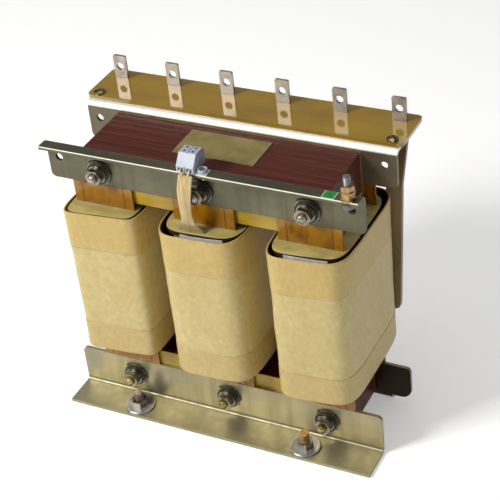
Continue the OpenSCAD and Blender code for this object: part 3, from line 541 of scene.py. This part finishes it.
# Bright and dull colour of threads
SILVER = (rgb(196, 190, 170), rgb(132, 126, 108))
BRASSY = (rgb(204, 184, 122), rgb(132, 112, 64))
PALE = (rgb(214, 212, 214), rgb(164, 162, 164))
COPPERY = (rgb(226, 188, 132), rgb(164, 124, 78))
BRONZE = (rgb(208, 192, 176), rgb(128, 100, 82))


def plated(name, bright, dull, metallic, smooth, coarse, scale):
    p = Paint(name)
    cloud = p.noise(scale, detail=3.0)
    turned = p.noise((2500.0, 2500.0, 2500.0), detail=1.0)
    p.set(Base_Color=p.ramp(cloud, [(0.32, dull), (0.68, bright)]), Metallic=metallic)
    p.set(Roughness=p.level(cloud, smooth, coarse), Normal=p.bump(turned, 0.06, 0.1))
    return p.material


def moulded(name, light, dark, rough):
    p = Paint(name)
    cloud = p.noise((120.0, 120.0, 120.0))
    grain = p.noise((1600.0, 1600.0, 1600.0))
    p.set(Base_Color=p.blend(cloud, dark, light), Roughness=rough)
    p.set(Subsurface_Weight=0.05, Subsurface_Radius=(0.002, 0.002, 0.002))
    p.set(Normal=p.bump(grain, 0.08, 0.1))
    return p.material


def lead_sleeve():
    p = Paint("lead_sleeve")
    cloud = p.noise((60.0, 60.0, 18.0), detail=3.0)
    fibre = p.noise((900.0, 900.0, 120.0))
    p.set(Base_Color=p.blend(cloud, rgb(112, 96, 66), rgb(142, 123, 88)), Roughness=0.38)
    p.set(Normal=p.bump(fibre, 0.15, 0.2))
    return p.material


def cloth_pale():
    """Woven sleeve with darker strands, soaked in varnish at its lower end."""
    p = Paint("cloth_pale")
    spot = p.stretched((1.0, 1.0, 1.0))
    wave = p.node("ShaderNodeTexWave", Vector=spot, Scale=260.0, Distortion=1.5, Detail=2.0)
    wave.bands_direction = "Z"
    cross = wave.outputs["Fac"]
    spots = p.noise((260.0, 260.0, 90.0), detail=3.0)
    base = p.blend(spots, rgb(190, 166, 112), rgb(222, 202, 152))
    strands = p.grey(p.noise((800.0, 250.0, 45.0)), [(0.35, 1.0), (0.6, 0.0)])
    woven = p.mix(p.times(cross, 0.25), base, rgb(160, 134, 86))
    striped = p.mix(p.times(strands, 0.55), woven, rgb(146, 116, 70))
    soaked = p.times(p.under(p.axis("Z"), SOAKED_Z * MM), 0.6)
    p.set(Base_Color=p.mix(soaked, striped, rgb(142, 124, 70)), Roughness=0.85)
    p.set(Sheen_Weight=0.2, Sheen_Roughness=0.5, Normal=p.bump(cross, 0.5, 0.3))
    return p.material


def threaded(name, axis, pitch, tones, ends, right=None, shade_below_z=None):
    """Plated metal with rings of thread between two places on an axis of the frame, in millimetres.

    A second pair of tones is for the pieces at the right of the middle. Below the given height it
    is darker: painted shade."""
    bright, dull = tones
    p = Paint(name)
    place = p.axis(axis)
    ridge = p.distance(p.calc("FRACT", p.calc("DIVIDE", place, pitch * MM)), 0.5)
    inside = p.times(p.over(place, ends[0] * MM), p.under(place, ends[1] * MM))
    cloud = p.noise((180.0, 180.0, 180.0), detail=3.0)
    base = p.ramp(cloud, [(0.32, dull), (0.68, bright)])
    if right is not None:
        right_base = p.ramp(cloud, [(0.32, right[1]), (0.68, right[0])])
        base = p.mix(p.over(p.axis("X"), 0.0), base, right_base)
    if shade_below_z is not None:
        # Painted shade below the given height
        base = p.mix(p.under(p.axis("Z"), shade_below_z * MM), base, dimmed(dull, 0.4))
    # The thread's grooves are painted darker: painted shade in the grooves
    groove_shade = p.times(inside, p.over(ridge, 0.3))
    p.set(Base_Color=p.mix(p.times(groove_shade, 0.6), base, dimmed(dull, 0.35)))
    p.set(Metallic=0.85, Roughness=p.level(cloud, 0.28, 0.42))
    p.set(Normal=p.bump(p.times(ridge, inside), 1.0, 0.6))
    return p.material


def slotted_screw():
    """Bright screw heads with a slanted slot across each, painted dark as shade in the slot."""
    p = Paint("slotted_screw")
    cloud = p.noise((200.0, 200.0, 200.0), detail=3.0)
    base = p.ramp(cloud, [(0.32, rgb(110, 102, 66)), (0.68, rgb(166, 156, 112))])
    across = p.calc("SUBTRACT", p.size(p.axis("X")), SCREW_X * MM)
    along = p.calc("SUBTRACT", p.axis("Y"), CORE_Y + SCREW_Y * MM)
    # The slot is painted dark: painted shade in the recess
    slot = p.under(p.size(p.calc("MULTIPLY_ADD", along, 0.8, across)), SLOT_HALF_W * MM)
    p.set(Base_Color=p.mix(slot, base, rgb(34, 30, 22)), Metallic=1.0, Roughness=0.26)
    p.set(Normal=p.bump(slot, 0.6, -0.6))
    return p.material


def mark_green():
    """Green with a pale rim along the mark's outline."""
    p = Paint("mark_green")
    cloud = p.noise((300.0, 300.0, 300.0), detail=3.0)
    base = p.blend(cloud, rgb(24, 112, 52), rgb(44, 146, 74))
    off_x = p.distance(p.axis("X"), sum(MARK_X) / 2 * MM)
    off_y = p.distance(p.axis("Y"), sum(MARK_Y) / 2 * MM + CORE_Y)
    rim_x = p.over(off_x, ((MARK_X[1] - MARK_X[0]) / 2 - MARK_RIM) * MM)
    rim_y = p.over(off_y, ((MARK_Y[1] - MARK_Y[0]) / 2 - MARK_RIM) * MM)
    p.set(Base_Color=p.mix(p.calc("MAXIMUM", rim_x, rim_y), base, rgb(172, 214, 158)))
    p.set(Roughness=0.32, Normal=p.bump(cloud, 0.1, 0.2))
    return p.material


# Materials of slots and nodes

SLOTS = {
    "core_iron": core_iron,
    "gap_board": gap_board,
    "plate_gold": plate_gold,
    "zinc_sheet": lambda: zinc_sheet("zinc_sheet", ZINC_FOOT, painted_shade_on_uprights),
    "strip_yellow": strip_yellow,
    "former_amber": lambda: amber("former_amber", rgb(176, 128, 44), rgb(140, 96, 26)),
    "flap_amber": lambda: amber("flap_amber", rgb(156, 106, 12), rgb(108, 66, 6), former_corners),
    "foil": foil,
    "foil_strip": foil_strip,
    "ring_cream": ring_cream,
    "stick_tan": stick_tan,
    "wrap_cream": wrap_cream,
    "wrap_inside_shaded": wrap_inside_shaded,
    "insulation_black": insulation_black,
    "board_ochre": board_ochre,
    "lead_sleeve": lead_sleeve,
    "cloth_pale": cloth_pale,
}
MADE = {}


def finish_of(slot):
    """The material of a slot, made when it is first asked for."""
    if slot not in MADE:
        if slot in PLATED:
            MADE[slot] = plated(slot, *PLATED[slot])
        elif slot in MOULDED:
            MADE[slot] = moulded(slot, *MOULDED[slot])
        else:
            MADE[slot] = SLOTS[slot]()
    return MADE[slot]


# The clamp bolts' threads, along Y of the frame, and the studs' threads, along its Z
BOLT_ENDS = (-58.5, -54.0)
FOOT_STUD_ENDS = (9.0, 18.5)
EARTH_STUD_ENDS = (256.0, 278.5)
# Below this height, in the flange and under it, the earth stud is darker: painted shade under the
# flange
EARTH_SHADE_Z = 253.5

# Nodes whose look differs from that of their slot
NODE_FINISHES = {
    "clamp_top_front": zinc_sheet("zinc_top_front", ZINC_TOP_SHADED, painted_edge_highlight),
    "clamp_top_rear": zinc_sheet("zinc_top_rear", ZINC_REAR_SHADED, darker_left_and_flange_highlight),
    "clamp_bottom_rear": zinc_sheet("zinc_bottom_rear", ZINC_FOOT, painted_shade_on_uprights, painted_shade_on_front),
    "clamp_bolts_top": threaded("bolt_top", "Y", M8_PITCH, SILVER, BOLT_ENDS),
    "clamp_bolts_bottom": threaded("bolt_bottom", "Y", M8_PITCH, BRASSY, BOLT_ENDS),
    "foot_studs": threaded("foot_stud", "Z", M8_PITCH, BRONZE, FOOT_STUD_ENDS, right=COPPERY),
    "earth_stud": threaded("earth_stud", "Z", M6_PITCH, PALE, EARTH_STUD_ENDS, shade_below_z=EARTH_SHADE_Z),
    "board_screws": slotted_screw(),
}
SLOT_OF = {part["node"]: part["material_slot"] for part in frame["record"]["subparts"]}

for node, shown in frame["nodes"].items():
    made = NODE_FINISHES.get(node) or finish_of(SLOT_OF[node])
    if not shown.data.materials:
        shown.data.materials.append(made)
    for spot in shown.material_slots:
        spot.material = made


# Building blocks of the pieces

# Places in the noise that differ by one seed lie this far apart
SEED_STEP = 17.0


def at(x, y, z):
    """A place in the core's millimetres, as metres in the frame."""
    return Vector((x * MM, y * MM + CORE_Y, z * MM))


def sway(x, y, z, seed):
    """A smooth uneven value around zero, less than 1 from it."""
    return noise.noise(Vector((x, y, z + SEED_STEP * seed)))


def new_piece(name, shape, slot, smooth_angle=35.0, replaces=(), finish=None):
    """A mesh object that rides on the part, with its slot's material or a finish of its own."""
    points, faces = shape
    mesh = bpy.data.meshes.new(name)
    mesh.from_pydata([tuple(point) for point in points], [], faces)
    mesh.update()
    mesh.polygons.foreach_set("use_smooth", [True] * len(mesh.polygons))
    mesh.set_sharp_from_angle(angle=math.radians(smooth_angle))
    mesh.materials.append(finish or finish_of(slot))
    piece = bpy.data.objects.new(name, mesh)
    bpy.context.collection.objects.link(piece)
    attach(piece, "root")
    if replaces:
        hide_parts(*replaces)
    return piece


def loft(rings, joined=False, capped=False):
    """Points and faces of a skin through closed rings of equal length.

    The last ring can be joined to the first, or both ends can be capped."""
    count = len(rings[0])
    points = [point for ring in rings for point in ring]
    faces = []
    for i in range(len(rings) if joined else len(rings) - 1):
        j = (i + 1) % len(rings)
        for k in range(count):
            m = (k + 1) % count
            faces.append((i * count + k, i * count + m, j * count + m, j * count + k))
    if capped:
        faces += [tuple(reversed(range(count))), tuple(range(len(points) - count, len(points)))]
    return points, faces


def merged(shapes):
    """Several shapes as one."""
    points, faces = [], []
    for more_points, more_faces in shapes:
        start = len(points)
        points += more_points
        faces += [tuple(start + n for n in face) for face in more_faces]
    return points, faces


def turned_rings(profile, places, sides):
    """Rings turned from a profile of (radius, height), one at each place."""
    shapes = []
    for middle_x, middle_y, foot in places:
        rings = []
        for k in range(sides):
            angle = 2 * math.pi * k / sides
            c, s = math.cos(angle), math.sin(angle)
            rings.append([at(middle_x + r * c, middle_y + r * s, foot + z) for r, z in profile])
        shapes.append(loft(rings, joined=True))
    return merged(shapes)


def between(a, b, c, d, u):
    """The value at share u of the way from b to c, on a Catmull-Rom curve through all four."""
    square = 2 * a - 5 * b + 4 * c - d
    cube = 3 * b - a - 3 * c + d
    return (2 * b + (c - a) * u + square * u * u + cube * u ** 3) / 2


def smooth_route(route, steps):
    """Places along a smooth curve through a route's points, with steps from each to the next."""
    places = []
    for i in range(len(route) - 1):
        points = [route[min(max(j, 0), len(route) - 1)] for j in (i - 1, i, i + 1, i + 2)]
        for k in range(steps):
            places.append(tuple(between(*values, k / steps) for values in zip(*points)))
    return places + [route[-1]]


def neighbours(places, n):
    """The places after and before place n, or itself at an end."""
    return places[min(n + 1, len(places) - 1)], places[max(n - 1, 0)]


# Wraps of the coils, left, middle and right, with the outlines of the solids

COIL_NAMES = ("left", "middle", "right")
LIMB_XS = (-LIMB_PITCH, 0.0, LIMB_PITCH)
WRAP_WIDTHS = (68.6, 75.0, 69.6)
WRAP_DEPTHS = (106.0, 118.0, 116.0)
WRAP_SQUARENESS = (9.0, 5.0, 5.5)
WRAP_SLANTS = (0.09, 0.05, 0.1)
WRAP_SETS = (1.6, 0.2, 1.4)
WRAP_T = 1.4
OUTLINE_POINTS = 144
# The foot curls in, outside and inside: inset, height over the foot, share of the dents
OUTER_CURL = (
    (5.0, 0.3, 0.0), (3.0, 0.0, 0.0), (1.6, 0.35, 0.1),
    (0.7, 1.2, 0.3), (0.2, 2.6, 0.5), (0.0, 4.5, 0.8))
INNER_CURL = ((WRAP_T, 3.0, 0.5), (2.2, 1.6, 0.3), (3.4, 1.3, 0.0), (5.0, 1.3, 0.0))
# How much deeper the middle band of tape lies than the others, and half of the step at a seam
BAND_DEPTH, SEAM_HALF_H = 0.3, 0.15
# Heights of the rows between the curls and the rim, the upper ones with their share of the dents
LOW_ROWS = (70.0, 79.0)
BAND_ROWS = (96.0, 106.0, 117.0, 128.0, 139.0, 150.0, 159.0)
HIGH_ROWS = ((176.0, 0.9), (185.0, 0.7), (193.0, 0.4), (199.0, 0.2))
INNER_ROWS = ((190.0, 0.5), (150.0, 1.0), (110.0, 1.0), (70.0, 1.0))
# The rim is rounded outside and inside, takes a small share of the dents, and waves up and down
RIM_H, RIM_EDGE, RIM_OUT, RIM_IN, RIM_SHARE = 0.5, 0.1, 0.3, 0.4, 0.1
RIM_WAVE, RIM_WAVE_L, RIM_WAVE_H = 0.35, 11, 1.0
# Dents: mean depth, swing, length and height, then depth, length and height of the wrinkles on them
DENT, DENT_SWING, DENT_L, DENT_H = 0.35, 0.5, 30, 38
WRINKLE, WRINKLE_L, WRINKLE_H = 0.25, 9, 13
# A coil's own number is added to these seeds
DENT_SEED, WRINKLE_SEED, RIM_SEED = 0, 5, 9


def coil_outline(i, k, half_w, half_d):
    """Point k round coil i: a rectangle with swollen sides and a slanted front."""
    angle = 2 * math.pi * k / OUTLINE_POINTS
    c, s = math.cos(angle), math.sin(angle)
    power = 2 / WRAP_SQUARENESS[i]
    x = half_w * math.copysign(abs(c) ** power, c)
    y_share = math.copysign(abs(s) ** power, s)
    return x, half_d * y_share - min(y_share, 0) * WRAP_SLANTS[i] * x


def wrap_point(i, k, inset):
    """Point k of coil i's wrap, moved inwards by an inset."""
    x, y = coil_outline(i, k, WRAP_WIDTHS[i] / 2 - inset, WRAP_DEPTHS[i] / 2 - inset)
    return x + WRAP_SETS[i], y


def outer_rows():
    """Rows (inset, height, share of the dents) from the curled foot up the outside to the rim."""
    rows = [(inset, COIL_LOW + up, share) for inset, up, share in OUTER_CURL]
    rows += [(0.0, z, 1.0) for z in (*LOW_ROWS, SEAM_LOW - SEAM_HALF_H)]
    band = (SEAM_LOW + SEAM_HALF_H, *BAND_ROWS, SEAM_HIGH - SEAM_HALF_H)
    rows += [(BAND_DEPTH, z, 1.0) for z in band]
    rows += [(0.0, SEAM_HIGH + SEAM_HALF_H, 1.0)]
    rows += [(0.0, z, share) for z, share in (*HIGH_ROWS, (COIL_HIGH - RIM_H, RIM_SHARE))]
    rows += [(inset, COIL_HIGH - RIM_EDGE, RIM_SHARE) for inset in (RIM_OUT, WRAP_T - RIM_IN)]
    return rows


def inner_rows():
    """Rows from the rim down the inside to the foot."""
    rows = [(WRAP_T, COIL_HIGH - RIM_H - RIM_EDGE, RIM_SHARE)]
    rows += [(WRAP_T, z, share) for z, share in INNER_ROWS]
    rows += [(inset, COIL_LOW + up, share) for inset, up, share in INNER_CURL]
    return rows


def wrap_ring(i, inset, z, share):
    """A ring of coil i's wrap, pulled in by a share of the dents."""
    ring = []
    for k in range(OUTLINE_POINTS):
        x, y = wrap_point(i, k, 0.0)
        dent = DENT + DENT_SWING * sway(x / DENT_L, y / DENT_L, z / DENT_H, DENT_SEED + i)
        wrinkle = sway(x / WRINKLE_L, y / WRINKLE_L, z / WRINKLE_H, WRINKLE_SEED + i)
        x, y = wrap_point(i, k, inset + max(0.0, share * dent + WRINKLE * share * wrinkle))
        lift = 0.0
        if z > COIL_HIGH - RIM_WAVE_H:
            lift = -RIM_WAVE - RIM_WAVE * sway(x / RIM_WAVE_L, y / RIM_WAVE_L, 0.0, RIM_SEED + i)
        ring.append(at(x + LIMB_XS[i], y, z + lift))
    return ring


def wrap(i):
    """The wrap of coil i, cream outside, and dark inside with painted shade."""
    name = COIL_NAMES[i]
    rings = [wrap_ring(i, *row) for row in outer_rows() + inner_rows()]
    skin = new_piece(
        "wrap_skin_" + name,
        loft(rings, joined=True),
        "wrap_cream",
        smooth_angle=40.0,
        replaces=("coil_wrap_" + name,),
    )
    skin.data.materials.append(finish_of("wrap_inside_shaded"))
    outside = len(outer_rows()) * OUTLINE_POINTS
    for n, face in enumerate(skin.data.polygons):
        face.material_index = 0 if n < outside else 1


for coil in range(3):
    wrap(coil)


# End rings, set further in from the wraps than the solids, so that the gap round them shows

RING_T, RING_HALF_D, RING_GAP = 4.5, 49.0, 1.9
# The rims of the wraps stand this far past the rings
RIM_OVER = 1.6
RING_LEVELS = (COIL_LOW + RIM_OVER, COIL_HIGH - RIM_OVER - RING_T)
# The upper edge is rounded: share of the outline where the rounding ends, and how far below the
# top it begins and ends
RING_ROUND_SHARE, RING_ROUND_H, RING_ROUND_TOP = 0.985, 0.5, 0.05
RING_WAVE, RING_WAVE_L, RING_SEED = 0.25, 14, 61


def end_ring(i, level):
    """An end ring of coil i, with its foot at a level."""
    rings = []
    for k in range(OUTLINE_POINTS):
        x, y = coil_outline(i, k, WRAP_WIDTHS[i] / 2 - WRAP_T - RING_GAP, RING_HALF_D)
        reach = max(abs(x) / FORMER_HALF_W, abs(y) / FORMER_HALF_D)
        hole = (x / reach, y / reach)
        wave = RING_WAVE * sway(x / RING_WAVE_L, y / RING_WAVE_L, level, RING_SEED + i)
        crown = RING_T - RING_ROUND_TOP + wave
        rows = [
            (*hole, 0.0), (x, y, 0.0), (x, y, RING_T - RING_ROUND_H),
            (x * RING_ROUND_SHARE, y * RING_ROUND_SHARE, crown), (*hole, RING_T)]
        rings.append([at(row_x + LIMB_XS[i], row_y, level + up) for row_x, row_y, up in rows])
    return loft(rings, joined=True)


for coil, coil_name in enumerate(COIL_NAMES):
    new_piece(
        "ring_skin_" + coil_name,
        merged(end_ring(coil, level) for level in RING_LEVELS),
        "ring_cream",
        smooth_angle=40.0,
        replaces=("end_rings_" + coil_name,),
    )


# Foil edges that show in the front gaps of the middle and right coils

FOIL_LOW, FOIL_STEPS = 188.0, 28
# Depth of the waves along the upper edge, cells of the noise along it, and their place in the noise
FOIL_WAVE, FOIL_CELLS, FOIL_SPOT = 0.6, 4, (0.3, 0.7)


def foil_edge(name, left, right, bulge, high, thickness, seed):
    """A thin upright strip between two places (x, y), bowed to the front, its upper edge uneven."""
    rings = []
    for k in range(FOIL_STEPS + 1):
        u = k / FOIL_STEPS
        x = left[0] + (right[0] - left[0]) * u
        y = left[1] + (right[1] - left[1]) * u - bulge * math.sin(math.pi * u)
        back = y + thickness
        top = high - FOIL_WAVE * (0.5 + 0.5 * sway(FOIL_CELLS * u, *FOIL_SPOT, seed))
        rings.append([at(x, y, FOIL_LOW), at(x, back, FOIL_LOW), at(x, back, top), at(x, y, top)])
    shape = loft(rings, capped=True)
    new_piece(name, shape, "foil", smooth_angle=30.0, finish=finish_of("foil_strip"))


foil_edge(
    "foil_edge_middle", (-14.0, -52.0), (23.0, -49.6),
    bulge=1.0, high=200.2, thickness=0.7, seed=3)
foil_edge(
    "foil_edge_right", (77.0, -52.4), (113.0, -49.9),
    bulge=0.5, high=200.5, thickness=0.9, seed=4)


# Green mark on the front flange, bent over its fold

MARK_T = 0.15
# Where the fold begins, its outer radius, and the degrees of it that the mark covers
FOLD_Y, FOLD_R, FOLD_ARC = -37.5, 6.0, 50
FLAT_STEPS, FOLD_STEPS = 3, 10


def fold_row(lift):
    """Places (y, z) across the flange and over its fold, at a height above the surface."""
    reach = FOLD_R + lift
    row = []
    for k in range(FLAT_STEPS):
        row.append((MARK_Y[0] + (FOLD_Y - MARK_Y[0]) * k / FLAT_STEPS, FLANGE_Z + lift))
    for k in range(FOLD_STEPS + 1):
        turn = math.radians(FOLD_ARC * k / FOLD_STEPS)
        row.append((FOLD_Y + reach * math.sin(turn), FLANGE_Z - FOLD_R + reach * math.cos(turn)))
    return row


def bent_mark():
    outline = fold_row(MARK_T) + fold_row(0.0)[::-1]
    points, faces = loft([[at(x, y, z) for y, z in outline] for x in MARK_X])
    count = len(outline)
    for start in (0, count):
        for k in range(count // 2 - 1):
            faces.append((start + k, start + k + 1, start + count - 2 - k, start + count - 1 - k))
    new_piece("mark_patch", (points, faces), "foot_pale", finish=mark_green())


bent_mark()


# A raised bead of paint along the core's rear edge

BEAD_HALF_L, BEAD_Y, BEAD_HALF_W, BEAD_H, BEAD_SUNK = 108.5, 29.6, 1.5, 0.8, 0.1
BEAD_STEPS, BEAD_SIDES = 90, 6
# Its height swings about this share of the full one, and its middle wanders
BEAD_SHARE, BEAD_SWING, BEAD_SWING_L, BEAD_SEED = 0.65, 0.6, 9, 21
BEAD_WANDER, BEAD_WANDER_L, BEAD_WANDER_SEED = 0.3, 14, 22


def paint_bead():
    rings = []
    for k in range(BEAD_STEPS + 1):
        x = -BEAD_HALF_L + 2 * BEAD_HALF_L * k / BEAD_STEPS
        height = BEAD_H * (BEAD_SHARE + BEAD_SWING * sway(x / BEAD_SWING_L, 0.0, 0.0, BEAD_SEED))
        middle = BEAD_Y + BEAD_WANDER * sway(x / BEAD_WANDER_L, 1.0, 0.0, BEAD_WANDER_SEED)
        ring = []
        for m in range(BEAD_SIDES + 1):
            turn = math.pi * m / BEAD_SIDES
            y = middle - BEAD_HALF_W * math.cos(turn)
            ring.append(at(x, y, CORE_TOP - BEAD_SUNK + height * math.sin(turn)))
        rings.append(ring)
    new_piece("core_bead", loft(rings), "core_iron", smooth_angle=60.0)


paint_bead()


# Upper yoke: the edges of its laminations, each a little higher or lower than the next

YOKE_ROWS, YOKE_STEPS, YOKE_SEED = 180, 40, 51
# Height of the ridges, and how far the top lies below that of the solid on average
RIDGE_H, RIDGE_DROP = 0.16, 0.12
# Ridges: cells of the noise per millimetre across the yoke, millimetres per cell along it, and
# the share of the fine ones
WIDE_RATE, WIDE_L = 1.9, 160
FINE_RATE, FINE_L, FINE_SHARE = 4.3, 70, 0.6


def lamination_lift(x, y):
    """Height of the yoke's top at a place, above or below its nominal height."""
    wide = sway(y * WIDE_RATE, x / WIDE_L, 0.0, YOKE_SEED)
    fine = sway(y * FINE_RATE, x / FINE_L, 0.0, YOKE_SEED + 1)
    return RIDGE_H * (wide + FINE_SHARE * fine) - RIDGE_DROP


def yoke_skin():
    """The yoke as a long bar whose top is drawn out along X in fine uneven ridges."""
    rings = []
    for k in range(YOKE_STEPS + 1):
        x = -YOKE_HALF_L + 2 * YOKE_HALF_L * k / YOKE_STEPS
        ring = [at(x, -YOKE_HALF_D, YOKE_LOW)]
        for m in range(YOKE_ROWS + 1):
            y = -YOKE_HALF_D + 2 * YOKE_HALF_D * m / YOKE_ROWS
            ring.append(at(x, y, CORE_TOP + lamination_lift(x, y)))
        ring.append(at(x, YOKE_HALF_D, YOKE_LOW))
        rings.append(ring)
    new_piece(
        "yoke_top_laminations",
        loft(rings, capped=True),
        "core_iron",
        smooth_angle=50.0,
        replaces=("core_yoke_top",),
    )


yoke_skin()


# Lower insulating strips, whose upper edge stands higher between the formers

STRIP_T, STRIP_LOW, STRIP_TOP, STRIP_RAISED = 1.0, 6.0, 49.5, 53.0
STRIP_IN, STRIP_OUT = YOKE_HALF_D, YOKE_HALF_D + STRIP_T
# The raised stretch keeps this far from the formers
STRIP_PLAY = 1.3
RAISED_FROM = FORMER_HALF_W + STRIP_PLAY
RAISED_TO = LIMB_PITCH - RAISED_FROM
RAISED_STEPS = 24
STRIP_WAVE, STRIP_WAVE_L = 0.4, 9


def strip_outline(seed):
    """Corners (x, z) of a strip: its lower edge, then its upper edge from right to left."""
    outline = [(-YOKE_HALF_L, STRIP_LOW), (YOKE_HALF_L, STRIP_LOW), (YOKE_HALF_L, STRIP_TOP)]
    for right, left in ((RAISED_TO, RAISED_FROM), (-RAISED_FROM, -RAISED_TO)):
        outline.append((right, STRIP_TOP))
        for k in range(RAISED_STEPS + 1):
            x = right + (left - right) * k / RAISED_STEPS
            outline.append((x, STRIP_RAISED + STRIP_WAVE * sway(x / STRIP_WAVE_L, 0.0, 0.0, seed)))
        outline.append((left, STRIP_TOP))
    outline.append((-YOKE_HALF_L, STRIP_TOP))
    return outline


def strip_skin(name, y_low, y_high, seed):
    new_piece(
        "strip_skin_" + name,
        loft([[at(x, y, z) for x, z in strip_outline(seed)] for y in (y_low, y_high)], capped=True),
        "strip_yellow",
        smooth_angle=30.0,
        replaces=("strip_bottom_" + name,),
    )


strip_skin("front", -STRIP_OUT, -STRIP_IN, seed=71)
strip_skin("rear", STRIP_IN, STRIP_OUT, seed=72)


# Washers of the foot studs, wider than the solids, with rounded rims

STUD_X, STUD_Y, FOOT_T = 80.0, 52.0, 3.0
STUD_PLACES = [(side * STUD_X, end * STUD_Y, FOOT_T) for side in (-1, 1) for end in (-1, 1)]
WASHER_SIDES = 64
# Radius and height round a washer's section
WASHER_PROFILE = [
    (4.2, 0.0), (13.1, 0.0), (13.4, 0.3), (13.4, 1.5), (13.0, 1.9),
    (12.1, 2.0), (11.5, 1.85), (4.6, 1.85), (4.2, 1.6)]

new_piece(
    "foot_wide_washers",
    turned_rings(WASHER_PROFILE, STUD_PLACES, WASHER_SIDES),
    "steel_bright",
    smooth_angle=32.0,
    replaces=("foot_washers",),
    finish=finish_of("washer_pale"),
)


# Screw loop at the right end of the terminal block's foot

LOOP_PLACE, LOOP_SIDES = (9.0, -41.75, 257.0), 40
LOOP_PROFILE = [(2.7, 0.0), (4.1, 0.0), (4.2, 0.4), (4.1, 2.6), (3.8, 3.0), (3.2, 3.0), (2.8, 2.6)]

new_piece(
    "block_screw_loop",
    turned_rings(LOOP_PROFILE, [LOOP_PLACE], LOOP_SIDES),
    "block_grey",
    smooth_angle=32.0,
)


# Cloth sleeve of the thermal switch's lead, down into the middle coil

# Its route, from the terminal block down: x, y, z and width
CLOTH_ROUTE = [
    (-2.5, -49.5, 256.0, 12.5), (-3.83, -52.5, 242.0, 12.5), (-5.17, -51.6, 226.0, 11.0),
    (-6.5, -48.2, 212.0, 12.5), (-6.3, -46.0, 201.4, 24.0), (-6.5, -45.6, 198.0, 15.0),
    (-6.5, -45.6, 188.0, 13.0)]
CLOTH_T, CLOTH_STEPS, CLOTH_SIDES = 3.2, 9, 40
# Long folds round it: number, depth as a share of its thickness, swing, length of the swing
CLOTH_FOLDS, FOLD_DEPTH, FOLD_SWING, FOLD_SWING_L = 5, 0.16, 0.5, 9
# It is thinner where it is wider than this
WIDE, THIN_SHARE, THICK_SHARE = 12, 0.86, 0.92
# Unevenness of its thickness and its width: share, points round it, length along it, seed
UNEVEN_T, UNEVEN_T_POINTS, UNEVEN_T_L, UNEVEN_T_SEED = 0.1, 3, 8, 31
UNEVEN_W, UNEVEN_W_POINTS, UNEVEN_W_L, UNEVEN_W_SEED = 0.04, 4, 6, 32


def cloth_sleeve():
    places = smooth_route(CLOTH_ROUTE, CLOTH_STEPS)
    rings = []
    for n, (x, y, z, width) in enumerate(places):
        ahead, behind = neighbours(places, n)
        run = Vector((0.0, ahead[1] - behind[1], ahead[2] - behind[2])).normalized()
        out = Vector((0.0, run.z, -run.y))
        flat = THIN_SHARE if width > WIDE else THICK_SHARE
        ring = []
        for k in range(CLOTH_SIDES):
            angle = 2 * math.pi * k / CLOTH_SIDES
            swing = FOLD_SWING * math.sin(z / FOLD_SWING_L)
            fold = FOLD_DEPTH * math.sin(CLOTH_FOLDS * angle + swing)
            uneven_t = UNEVEN_T * sway(k / UNEVEN_T_POINTS, z / UNEVEN_T_L, 0.0, UNEVEN_T_SEED)
            uneven_w = UNEVEN_W * sway(k / UNEVEN_W_POINTS, z / UNEVEN_W_L, 0.0, UNEVEN_W_SEED)
            across = math.cos(angle) * width / 2 * (1.0 + uneven_w)
            thick = math.sin(angle) * CLOTH_T / 2 * (1.0 + fold + uneven_t) * flat
            ring.append(at(x + across, y + out.y * thick, z + out.z * thick))
        rings.append(ring)
    shape = loft(rings, capped=True)
    new_piece("cloth_braid", shape, "cloth_pale", smooth_angle=70.0, replaces=("cloth_sleeve",))


cloth_sleeve()


# Two short wires from the terminal block into the cloth sleeve

WIRE_R, WIRE_STEPS, WIRE_SIDES = 0.9, 8, 14
# From the sleeve's upper end into the block
WIRE_ROUTES = (
    [(-4.9, -49.5, 256.0), (-7.25, -48.5, 258.6), (-7.25, -45.5, 259.6)],
    [(-0.1, -49.5, 256.0), (0.25, -48.5, 258.6), (0.25, -45.5, 259.6)])


def wire(route):
    places = smooth_route(route, WIRE_STEPS)
    rings = []
    for n, place in enumerate(places):
        ahead, behind = neighbours(places, n)
        run = Vector(ahead) - Vector(behind)
        side = run.cross(Vector((1.0, 0.0, 0.0))).normalized()
        other = run.cross(side).normalized()
        ring = []
        for k in range(WIRE_SIDES):
            angle = 2 * math.pi * k / WIRE_SIDES
            spoke = side * math.cos(angle) + other * math.sin(angle)
            ring.append(at(*place) + spoke * WIRE_R * MM)
        rings.append(ring)
    return loft(rings, capped=True)


new_piece(
    "wire_pair",
    merged(wire(route) for route in WIRE_ROUTES),
    "wire_pale",
    smooth_angle=60.0,
    replaces=("sensor_wires",),
)
